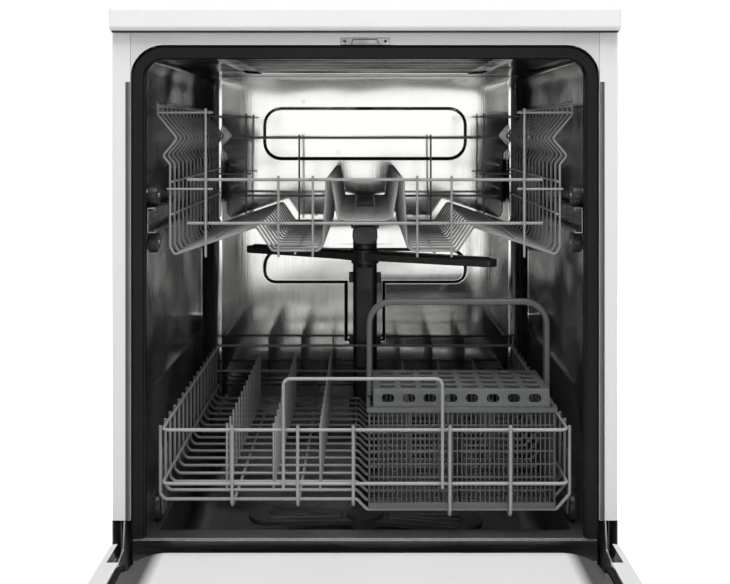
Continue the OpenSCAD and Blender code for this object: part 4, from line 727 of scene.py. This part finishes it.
def mesh_of(shape, name):
    """Mesh of a bmesh, which is freed"""
    mesh = bpy.data.meshes.new(name)
    shape.to_mesh(mesh)
    shape.free()
    return mesh


def add_block(shape, bounds):
    """Closed box from low to high X, Y and Z, and its vertices"""
    a, b, c, d, e, f = bounds
    corners = bmesh.ops.create_cube(shape, size=1.0)["verts"]
    bmesh.ops.scale(shape, vec=(b - a, d - c, f - e), verts=corners)
    bmesh.ops.translate(shape, vec=((a + b) / 2, (c + d) / 2, (e + f) / 2), verts=corners)
    return corners


def round_edges(shape, edges, width, segments):
    """Round the given edges by the width"""
    bmesh.ops.bevel(
        shape,
        geom=edges,
        offset=width,
        offset_type="OFFSET",
        segments=segments,
        profile=0.5,
        affect="EDGES",
        clamp_overlap=False,
        material=-1,
    )


def both_sides(low_x, high_x, front, rear, low_z, high_z):
    """Bounds of a box on the right and of its twin on the left"""
    return [
        (*sorted((side * low_x, side * high_x)), FRONT + front, FRONT + rear, low_z, high_z)
        for side in (-1, 1)
    ]


def add_blocks(name, blocks, slot, look=None, rounding=0.0):
    """Piece of closed boxes on the cabinet"""
    shape = bmesh.new()
    for bounds in blocks:
        add_block(shape, bounds)
    if rounding:
        round_edges(shape, shape.edges[:], rounding, 2)
    add_piece(name, mesh_of(shape, name), "cabinet", slot, look=look)


def hard_edges(shape, angle):
    """Edges at which the surface turns by more than the angle in degrees"""
    least = math.radians(angle)
    return [e for e in shape.edges if len(e.link_faces) == 2 and e.calc_face_angle(0.0) > least]


def softened(node, width, segments=2, wide=(), press=None, flat=1.0):
    """Copy of a solid with its hard edges rounded, standing for the solid

    Each (test, angle, width) in wide first rounds the edges over the angle whose two ends pass the
    test, and flat above 1 makes these curves that many times wider than high. Before that, press
    may change the bare shape.
    """
    shape = bmesh.new()
    shape.from_mesh(frame["nodes"][node].data)
    bmesh.ops.remove_doubles(shape, verts=shape.verts, dist=MERGE_DISTANCE)
    bmesh.ops.dissolve_limit(
        shape, angle_limit=math.radians(FLAT_TURN), verts=shape.verts, edges=shape.edges
    )
    if press:
        press(shape)
    chosen = []
    for test, least, wide_width in wide:
        edges = [e for e in hard_edges(shape, least) if all(test(v.co) for v in e.verts)]
        chosen.append((edges, wide_width))
    bmesh.ops.scale(shape, vec=(1.0, 1.0, flat), verts=shape.verts)
    for edges, wide_width in chosen:
        round_edges(shape, [e for e in edges if e.is_valid], wide_width, CURVE_STEPS)
    bmesh.ops.scale(shape, vec=(1.0, 1.0, 1.0 / flat), verts=shape.verts)
    round_edges(shape, hard_edges(shape, HARD_TURN), width, segments)
    piece = add_piece(
        node + "_finished",
        mesh_of(shape, node),
        BODY_OF[node],
        SLOT_OF[node],
        (node,),
        look=LOOK_OF.get(node),
        smooth_angle=50.0,
    )
    # Flat faces stay flat where their rounded edges are shaded smooth
    even = piece.modifiers.new("even", "WEIGHTED_NORMAL")
    even.keep_sharp = True
    return piece


def soften_all(edges):
    """Round every solid of a table"""
    for node, (width, segments) in edges.items():
        softened(node, width, segments)


def at(x, depth, z):
    """A point from millimetres across, behind the flanges and above the floor"""
    return Vector((x / 1000, FRONT + depth / 1000, z / 1000))


def rounded_path(points, bend, steps=5):
    """Points of a wire whose corners are bent round an arc"""
    path = [points[0]]
    for before, corner, after in zip(points, points[1:], points[2:]):
        back, on = before - corner, after - corner
        turn = back.angle(on)
        # A bend takes less than half of a straight run, and a nearly straight wire has none
        wanted = bend / math.tan(turn / 2) if turn < 3.1 else 0.0
        reach = min(wanted, back.length * 0.48, on.length * 0.48)
        if reach < 1e-5:
            path.append(corner)
            continue
        first, last = corner + back.normalized() * reach, corner + on.normalized() * reach
        for step in range(steps + 1):
            t = step / steps
            path.append(first * (1 - t) ** 2 + corner * 2 * t * (1 - t) + last * t**2)
    path.append(points[-1])
    return path


def add_wires(name, wires, body, replaced):
    """Piece of many round wires, each (points, radius, bend) in millimetres"""
    curve = bpy.data.curves.new(name, "CURVE")
    curve.dimensions = "3D"
    curve.bevel_depth = 1.0
    curve.bevel_resolution = 3
    curve.use_fill_caps = True
    for points, radius, bend in wires:
        path = rounded_path([at(*point) for point in points], bend / 1000)
        spline = curve.splines.new("POLY")
        spline.points.add(len(path) - 1)
        for point, place in zip(spline.points, path):
            point.co = (*place, 1.0)
            point.radius = radius / 1000
    holder = bpy.data.objects.new(name, curve)
    bpy.context.scene.collection.objects.link(holder)
    bpy.context.view_layer.update()
    drawn = holder.evaluated_get(bpy.context.evaluated_depsgraph_get())
    mesh = bpy.data.meshes.new_from_object(drawn)
    bpy.data.objects.remove(holder)
    bpy.data.curves.remove(curve)
    mesh.name = name
    return add_piece(name, mesh, body, "wire_coating", replaced)


# Operators


class DISHWASHER_OT_case(bpy.types.Operator):
    """Round the edges of the cabinet, its base and its fittings"""

    bl_idname = "dishwasher.case"
    bl_label = "Cabinet and base"

    def execute(self, context):
        soften_all(CASE_EDGES)
        low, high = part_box("worktop")
        across = (low.x + STRIP_INSET, high.x - STRIP_INSET)
        strip = (*across, STRIP_FRONT, STRIP_REAR, low.z - STRIP_DROP, low.z + STRIP_LAP)
        strips, beads, plates = (both_sides(*b) for b in (MOUTH_STRIP, MOUTH_BEAD, CORNER_PLATE))
        # Black strip, partly real and partly painted shadow of the worktop's overhang
        add_blocks("worktop_strip_and_shadow", [strip], "black_plastic")
        add_blocks("mouth_side_strips", strips, "seal_rubber", look="dispenser_plastic")
        add_blocks("mouth_side_beads", beads, "seal_rubber", look="bracket_grey", rounding=0.0002)
        add_blocks("side_corner_plates", plates, "white_enamel")

        def inner(face):
            """Whether a face of a side sheet looks into the cabinet"""
            outward = math.copysign(1.0, face.center.x)
            return face.normal.x * outward < -0.7 and face.center.x * outward > SHEET_INSIDE

        # Black damping felt on the side sheets' inside faces, partly real felt and partly painted
        # shade inside the case; the grey on the corner plates' inside faces is painted shade
        wear("left_side_panel_finished", "damping_felt", inner)
        wear("right_side_panel_finished", "damping_felt", inner)
        wear("side_corner_plates", "grey_fitting", inner)
        return {"FINISHED"}


def on_stamp(place):
    """Whether a point lies on a shape stamped in the tub's back wall or in a side wall"""
    if place.y > TUB_HIGH.y - STAMP_REACH and abs(place.x) < BACK_STAMP_HALF:
        return BACK_STAMP_LOW < place.z < STAMP_TOP
    beside = abs(place.x) > TUB_HIGH.x - STAMP_REACH
    level = SIDE_STAMP_LOW < place.z < STAMP_TOP
    return beside and level and SIDE_STAMP_FRONT < place.y < SIDE_STAMP_REAR


def slope_stamps(shape):
    """Lean the steep walls of the stamped shapes, as a press leaves them"""
    deep = []
    for face in shape.faces:
        middle = face.calc_center_median()
        if not all(on_stamp(v.co) for v in face.verts):
            continue
        if abs(face.normal.y) > 0.99 and middle.y > TUB_HIGH.y - STAMP_BOTTOM_REACH:
            deep.append((face, Vector((0.0, STAMP_DEPTH, 0.0))))
        if abs(face.normal.x) > 0.99 and abs(middle.x) > TUB_HIGH.x - STAMP_BOTTOM_REACH:
            deep.append((face, Vector((math.copysign(STAMP_DEPTH, middle.x), 0.0, 0.0))))
    for face, depth in deep:
        outline = list(face.verts)
        bmesh.ops.inset_individual(shape, faces=[face], thickness=STAMP_SLOPE, use_even_offset=True)
        for corner in outline:
            corner.co -= depth
    bmesh.ops.remove_doubles(shape, verts=shape.verts, dist=0.00002)
    shape.normal_update()


def add_ceiling_ribs(level):
    """Piece of the flat ribs across the tub's ceiling"""
    ribs = bmesh.new()
    for count in range(RIB_COUNT):
        middle = RIB_FIRST + RIB_PITCH * count
        profile = []
        for step in range(RIB_STEPS + 1):
            turn = math.pi * step / RIB_STEPS
            swell = RIB_HEIGHT * math.sin(turn) ** 1.5
            profile.append((middle - RIB_HALF_WIDTH * math.cos(turn), level - swell))
        left = [ribs.verts.new((-RIB_HALF_LENGTH, y, z)) for y, z in profile]
        right = [ribs.verts.new((RIB_HALF_LENGTH, y, z)) for y, z in profile]
        ribs.faces.new(left)
        ribs.faces.new(right[::-1])
        for first in range(len(profile)):
            second = (first + 1) % len(profile)
            ribs.faces.new((left[second], left[first], right[first], right[second]))
    bmesh.ops.recalc_face_normals(ribs, faces=ribs.faces)
    name = "tub_ceiling_ribs"
    # The ribs wear the ceiling's painted shade
    add_piece(name, mesh_of(ribs, name), "cabinet", "stainless", look="ceiling_steel_painted_shade")


class DISHWASHER_OT_tub(bpy.types.Operator):
    """Round the pressings of the tub and finish what stands on its floor"""

    bl_idname = "dishwasher.tub"
    bl_label = "Tub, filter and arms"

    def execute(self, context):
        curves = ((on_stamp, STAMP_TURN, STAMP_ROUNDING),)
        tub = softened("tub", 0.0005, wide=curves, press=slope_stamps)
        ceiling = max(
            f.center.z for f in tub.data.polygons if f.normal.z < -0.98 and f.area > 0.005
        )

        def on_wall(face):
            """Whether a face belongs to the inside of a side wall or to the floor"""
            on_side = abs(face.normal.x) > 0.7 and abs(face.center.x) > 0.2
            inside = LIP_REAR < face.center.y < TUB_HIGH.y - TUB_SKIN
            return inside and (on_side or face.normal.z > 0.7)

        def on_ceiling(face):
            """Whether a face belongs to the ceiling or to its low stamped shapes"""
            return face.center.z > ceiling - CEILING_BAND and face.normal.z < -0.3

        # The side walls and the floor wear painted shade
        wear(tub.name, "wall_steel_painted_shade", on_wall)
        # The ceiling wears painted shade
        wear(tub.name, "ceiling_steel_painted_shade", on_ceiling)
        wear(tub.name, "lip_steel", lambda f: f.center.z < LIP_TOP and f.center.y < LIP_REAR)
        add_ceiling_ribs(ceiling - 0.0002)
        soften_all(TUB_EDGES)
        wear(
            "tub_seal_finished",
            "lip_steel",
            lambda f: f.center.z < SEAL_RUN_TOP and abs(f.center.x) < SEAL_RUN_HALF,
        )
        return {"FINISHED"}


def on_rim(place, inset):
    """Whether a point lies on the inner panel's far outline, the inset in from its outside"""
    side, rear = PANEL_HIGH.x - inset, PANEL_HIGH.y - inset
    level = abs(place.z - (PANEL_HIGH.z - inset)) < NEAR
    outer = abs(abs(place.x) - side) < NEAR or place.y > rear - RIM_CORNER
    inner = abs(place.x) < side - RIM_CORNER and place.y < rear - 0.0005
    return level and outer and not inner and place.y > PANEL_LOW.y + 0.01


class DISHWASHER_OT_door(bpy.types.Operator):
    """Round the edges of the door, its panel, buttons and dispenser"""

    bl_idname = "dishwasher.door"
    bl_label = "Door and dispenser"

    def execute(self, context):
        curves = (
            (lambda place: on_rim(place, 0.0), HARD_TURN, RIM_ROUNDING),
            (lambda place: on_rim(place, PANEL_SHEET), HARD_TURN, RIM_ROUNDING - PANEL_SHEET),
        )
        softened("door_inner_panel", 0.0004, wide=curves, flat=RIM_FLATNESS)
        soften_all(DOOR_EDGES)
        return {"FINISHED"}


class DISHWASHER_OT_upper_rack(bpy.types.Operator):
    """Bend the wires of the upper rack and finish its duct, brackets and wheels"""

    bl_idname = "dishwasher.upper_rack"
    bl_label = "Upper rack"

    def execute(self, context):
        thin, thick, bend = context.scene.dishwasher_racks.in_millimetres()
        step = 2 * thin + TOUCHING
        depths = [46 + 28 * count for count in range(15)]
        front, rear = depths[0] - thin, depths[-1] + thin
        right = UPPER_SIDE + UPPER_FLOOR
        across = [(-x, z) for x, z in right] + right[::-1]
        wires = [([(x, depth, z) for x, z in across], thin, bend) for depth in depths]
        # One long wire lies under the middle of the slope between side and floor
        low, high = Vector(UPPER_SIDE[-1]), Vector(UPPER_FLOOR[0])
        slope = (high - low).normalized()
        under = (low + high) * 0.5 + Vector((slope.y, -slope.x)) * step
        long_wires = (
            (255 - step, 733),
            (240 - step, 640),
            (240 - step, 600),
            (86, 555 - step),
            (14, 592 + step),
            tuple(under),
        )
        for x, z in long_wires:
            wires += [([(s * x, front, z), (s * x, rear, z)], thin, 0) for s in (-1, 1)]
        replaced = ("upper_side_wires", "upper_floor_wires")
        add_wires("upper_rack_cross_wires", wires, "upper_rack", replaced)
        grids = []
        for way, end, (heights, uprights) in ((-1, front, FRONT_GRID), (1, rear, REAR_GRID)):
            depth = end + way * (thick + TOUCHING)
            behind = end + way * (2 * thick + thin + 2 * TOUCHING)
            for z in heights:
                grids.append(([(-218, depth, z), (218, depth, z)], thick, 0))
            for x in uprights:
                grids.append(([(x, behind, 548), (x, behind, heights[1] + 5)], thin, 0))
            for s in (-1, 1):
                grids.append(([(s * 195, behind, 548), (s * 195, behind, 730)], thin, 0))
                grids.append(([(s * 187, depth, 631), (s * 243, depth, 631)], thin, 0))
                grids.append(([(s * 187, depth, 725), (s * 255, depth, 725)], thin, 0))
        add_wires("upper_rack_end_grids", grids, "upper_rack", ("upper_end_wires",))
        soften_all(UPPER_RACK_EDGES)
        return {"FINISHED"}


class DISHWASHER_OT_lower_rack(bpy.types.Operator):
    """Bend the wires of the lower rack and finish its wheels"""

    bl_idname = "dishwasher.lower_rack"
    bl_label = "Lower rack"

    def execute(self, context):
        thin, thick, bend = context.scene.dishwasher_racks.in_millimetres()
        drop = 2 * thick + TOUCHING
        depths = [18 + 29 * count for count in range(16)]
        last = depths[-1]
        cross = [([(x, depth, z) for x, z in LOWER_CROSS], thick, bend) for depth in depths]
        add_wires("lower_rack_cross_wires", cross, "lower_rack", ("lower_side_wires",))
        rim_front = 8
        front = rim_front - drop
        floor = []
        for x, z in LOWER_RUNNERS:
            route = [(x, last + thick, z - drop), (x, front, z - drop), (x, front, 352)]
            floor.append((route, thick, END_BEND))
        lift = thick + TOUCHING
        tines = [(x, d, 260 + lift) for x in (-170, -112.5, -55) for d in depths[1:15]]
        tines += [(x, d, 248 + lift) for x in (60, 117.5, 175) for d in depths[5:15]]
        floor += [([(x, d, z), (x, d, z + TINE_HEIGHT)], thin, 0) for x, d, z in tines]
        add_wires("lower_rack_runners_and_tines", floor, "lower_rack", ("lower_floor_wires",))
        rim = 246 - drop
        path = [(-rim, last), (-rim, rim_front), (rim, rim_front), (rim, last)]
        ends = [([(x, depth, z) for x, depth in path], thick, END_BEND) for z in (346, 282)]
        ends.append(([(x, front, z) for x, z in HAND_LOOP], thick, 9))
        for z in (346, 304):
            ends.append(([(-247, last + drop, z), (247, last + drop, z)], thick, 0))
        add_wires("lower_rack_rims", ends, "lower_rack", ("lower_end_wires",))
        soften_all(LOWER_RACK_EDGES)
        return {"FINISHED"}


def lattice_wall(shape, length, height, columns, rows, bar, band, thickness, to_place):
    """Wall of bars between a base band and a rim, built flat and put in its place"""
    pitch_x = (length - 2 * bar) / columns
    pitch_z = (height - band - bar) / rows
    proud = 0.0002
    bars = []
    for column in range(columns + 1):
        middle = bar + column * pitch_x
        bars.append((middle - bar / 2, middle + bar / 2, 0.0, thickness, 0.0, height))
    for row in range(rows + 1):
        low = band + row * pitch_z - bar / 2
        bars.append((0.0, length, proud, thickness - proud, low, low + bar))
    bars.append((0.0, length, -proud, thickness + proud, 0.0, band))
    made = []
    for bounds in bars:
        made += add_block(shape, bounds)
    bmesh.ops.transform(shape, matrix=to_place, verts=made)


class DISHWASHER_OT_basket(bpy.types.Operator):
    """Build the slotted walls of the cutlery basket, and finish its lid and handle"""

    bl_idname = "dishwasher.basket"
    bl_label = "Cutlery basket"

    def execute(self, context):
        sizes = context.scene.dishwasher_basket
        columns, rows, bar = sizes.columns, sizes.rows, sizes.bar
        low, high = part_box("basket_body")
        wall, band = BASKET_WALL, BASKET_BAND
        x0, x1 = low.x + BASKET_LIP, high.x - BASKET_LIP
        y0, y1 = low.y + BASKET_LIP, high.y - BASKET_LIP
        height = high.z - low.z - 0.005
        long, short = x1 - x0, y1 - y0
        side_columns = round(columns * short / long)
        shape = bmesh.new()
        for y in (y0, y1 - wall):
            place = Matrix.Translation((x0, y, low.z))
            lattice_wall(shape, long, height, columns, rows, bar, band, wall, place)
        for x in (x0 + wall, x1):
            place = Matrix.Translation((x, y0, low.z)) @ Matrix.Rotation(math.pi / 2, 4, "Z")
            lattice_wall(shape, short, height, side_columns, rows, bar, band, wall, place)
        place = Matrix.Translation((x0, y1, low.z + 0.0002)) @ Matrix.Rotation(math.pi / 2, 4, "X")
        slots = (columns // 2, FLOOR_ROWS)
        lattice_wall(shape, long, short, *slots, bar, FLOOR_BAND, FLOOR_THICKNESS, place)
        middle = (x0 + x1) / 2
        front, rear = y0 + wall, y1 - wall
        rim = high.z - BASKET_RIM
        for bounds in (
            (middle - DIVIDER_HALF, middle + DIVIDER_HALF, front, rear, low.z, high.z - 0.02),
            (low.x, high.x, low.y, front, rim, high.z),
            (low.x, high.x, rear, high.y, rim, high.z),
            (low.x, x0 + wall, front, rear, rim, high.z),
            (x1 - wall, high.x, front, rear, rim, high.z),
        ):
            add_block(shape, bounds)
        round_edges(shape, shape.edges[:], 0.0003, 1)
        name = "basket_slotted_walls"
        add_piece(name, mesh_of(shape, name), "lower_rack", "basket_grey", ("basket_body",))
        soften_all(BASKET_EDGES)
        return {"FINISHED"}


def soft_room(strength):
    """White studio: an even light, dim where steel mirrors it, and white where the camera looks"""
    world = bpy.data.worlds.new("soft_room")
    world.use_nodes = True
    tree = world.node_tree
    light = tree.nodes["Background"]
    light.inputs["Color"].default_value = (0.97, 0.985, 1.0, 1.0)
    place = tree.nodes.new("ShaderNodeTexCoord")
    split = tree.nodes.new("ShaderNodeSeparateXYZ")
    feed(tree, split.inputs["Vector"], place.outputs["Generated"])
    even = remap(tree, split.outputs["Z"], -0.2, 0.8, 0.8 * strength, 1.2 * strength)
    sight = tree.nodes.new("ShaderNodeLightPath").outputs
    dimmed = remap(tree, sight["Is Glossy Ray"], low=0.0, high=1.0, to_low=1.0, to_high=0.16)
    feed(tree, light.inputs["Strength"], combine(tree, "MULTIPLY", even, dimmed))
    white = tree.nodes.new("ShaderNodeBackground")
    white.inputs["Color"].default_value = (1.0, 1.0, 1.0, 1.0)
    either = tree.nodes.new("ShaderNodeMixShader")
    for socket, value in zip(
        either.inputs,
        (sight["Is Camera Ray"], light.outputs["Background"], white.outputs["Background"]),
    ):
        feed(tree, socket, value)
    feed(tree, tree.nodes["World Output"].inputs["Surface"], either.outputs["Shader"])
    return world


def floor_paint():
    """Floor that is white to the camera, and duller where the steel mirrors it"""
    paint = bpy.data.materials.new("pale_floor")
    paint.use_nodes = True
    tree = paint.node_tree
    pale = tree.nodes["Principled BSDF"]
    pale.inputs["Emission Color"].default_value = (1.0, 1.0, 1.0, 1.0)
    pale.inputs["Roughness"].default_value = 0.7
    sight = tree.nodes.new("ShaderNodeLightPath").outputs
    glow = remap(tree, sight["Is Camera Ray"], low=0.0, high=1.0, to_low=0.0, to_high=0.7)
    feed(tree, pale.inputs["Emission Strength"], glow)
    seen, mirrored = (0.92, 0.92, 0.915, 1.0), (0.12, 0.12, 0.12, 1.0)
    tones = blend_colours(tree, sight["Is Glossy Ray"], seen, mirrored)
    feed(tree, pale.inputs["Base Color"], tones)
    return paint


def add_light(name, place, target, size, power):
    """Soft rectangular light that shines at a target"""
    lamp = bpy.data.lights.new(name, "AREA")
    lamp.shape = "RECTANGLE"
    lamp.size, lamp.size_y = size
    lamp.energy = power
    holder = bpy.data.objects.new(name, lamp)
    holder.location = place
    aim = Vector(target) - Vector(place)
    holder.rotation_euler = aim.to_track_quat("-Z", "Y").to_euler()
    bpy.context.scene.collection.objects.link(holder)


class DISHWASHER_OT_stage(bpy.types.Operator):
    """Lay the floor and set the lights and the camera"""

    bl_idname = "dishwasher.stage"
    bl_label = "Stage"

    def execute(self, context):
        scene = context.scene
        settings = scene.dishwasher_stage
        ground = bmesh.new()
        bmesh.ops.create_grid(ground, x_segments=2, y_segments=2, size=6.0)
        floor = bpy.data.objects.new("pale_floor", mesh_of(ground, "pale_floor"))
        scene.collection.objects.link(floor)
        floor.data.materials.append(floor_paint())
        power = settings.side_power
        # Name, place, target, size and power
        add_light("front_light", (0, -3.0, 0.56), (0, 0, 0.56), (1.56, 1.2), settings.key_power)
        add_light("top_light", (0, -0.9, 2.4), (0, -0.55, 0.2), (1.6, 1.2), settings.top_power)
        add_light("left_light", (-1.9, -1.3, 1.0), (0, 0.1, 0.45), (0.5, 1.5), power)
        add_light("right_light", (1.9, -1.3, 1.0), (0, 0.1, 0.45), (0.5, 1.5), power)
        scene.world = soft_room(settings.room)
        eye = bpy.data.cameras.new("camera")
        eye.lens = settings.lens
        eye.sensor_width = 36.0
        # The photograph looks level, and its frame reaches further down than up
        eye.shift_y = -0.2247
        eye.clip_start, eye.clip_end = 0.05, 50.0
        camera = bpy.data.objects.new("camera", eye)
        camera.location = (0.0, FRONT - settings.distance, settings.height)
        camera.rotation_euler = (math.radians(90), 0.0, 0.0)
        scene.collection.objects.link(camera)
        scene.camera = camera
        scene.view_settings.view_transform = "Standard"
        return {"FINISHED"}


class DISHWASHER_PT_panel(bpy.types.Panel):
    """Sidebar panel with the sizes, colours and steps"""

    bl_idname = "DISHWASHER_PT_panel"
    bl_label = "Dishwasher"
    bl_space_type = "VIEW_3D"
    bl_region_type = "UI"
    bl_category = "Dishwasher"

    def draw(self, context):
        for name in SETTINGS:
            settings = getattr(context.scene, name)
            box = self.layout.box()
            for label in settings.__annotations__:
                box.prop(settings, label)
        for step in OPERATORS:
            self.layout.operator(step.bl_idname)


SETTINGS = {
    "dishwasher_racks": RackSizes,
    "dishwasher_basket": BasketSizes,
    "dishwasher_colours": FinishColours,
    "dishwasher_stage": StageSettings,
}
OPERATORS = (
    DISHWASHER_OT_case,
    DISHWASHER_OT_tub,
    DISHWASHER_OT_door,
    DISHWASHER_OT_upper_rack,
    DISHWASHER_OT_lower_rack,
    DISHWASHER_OT_basket,
    DISHWASHER_OT_stage,
)


def register():
    """Add the settings, the operators and the panel"""
    for label, group in SETTINGS.items():
        bpy.utils.register_class(group)
        setattr(bpy.types.Scene, label, PointerProperty(type=group))
    for step in OPERATORS:
        bpy.utils.register_class(step)
    bpy.utils.register_class(DISHWASHER_PT_panel)


def unregister():
    """Take away what register added"""
    bpy.utils.unregister_class(DISHWASHER_PT_panel)
    for step in reversed(OPERATORS):
        bpy.utils.unregister_class(step)
    for label, group in reversed(SETTINGS.items()):
        delattr(bpy.types.Scene, label)
        bpy.utils.unregister_class(group)


def main():
    """Make every piece in order"""
    register()
    make_finishes(bpy.context.scene.dishwasher_colours)
    for node, solid in frame["nodes"].items():
        solid.data.materials.clear()
        solid.data.materials.append(FINISHES[SLOT_OF[node]])
    bpy.ops.dishwasher.case()
    bpy.ops.dishwasher.tub()
    bpy.ops.dishwasher.door()
    bpy.ops.dishwasher.upper_rack()
    bpy.ops.dishwasher.lower_rack()
    bpy.ops.dishwasher.basket()
    bpy.ops.dishwasher.stage()


if __name__ == "__main__":
    main()
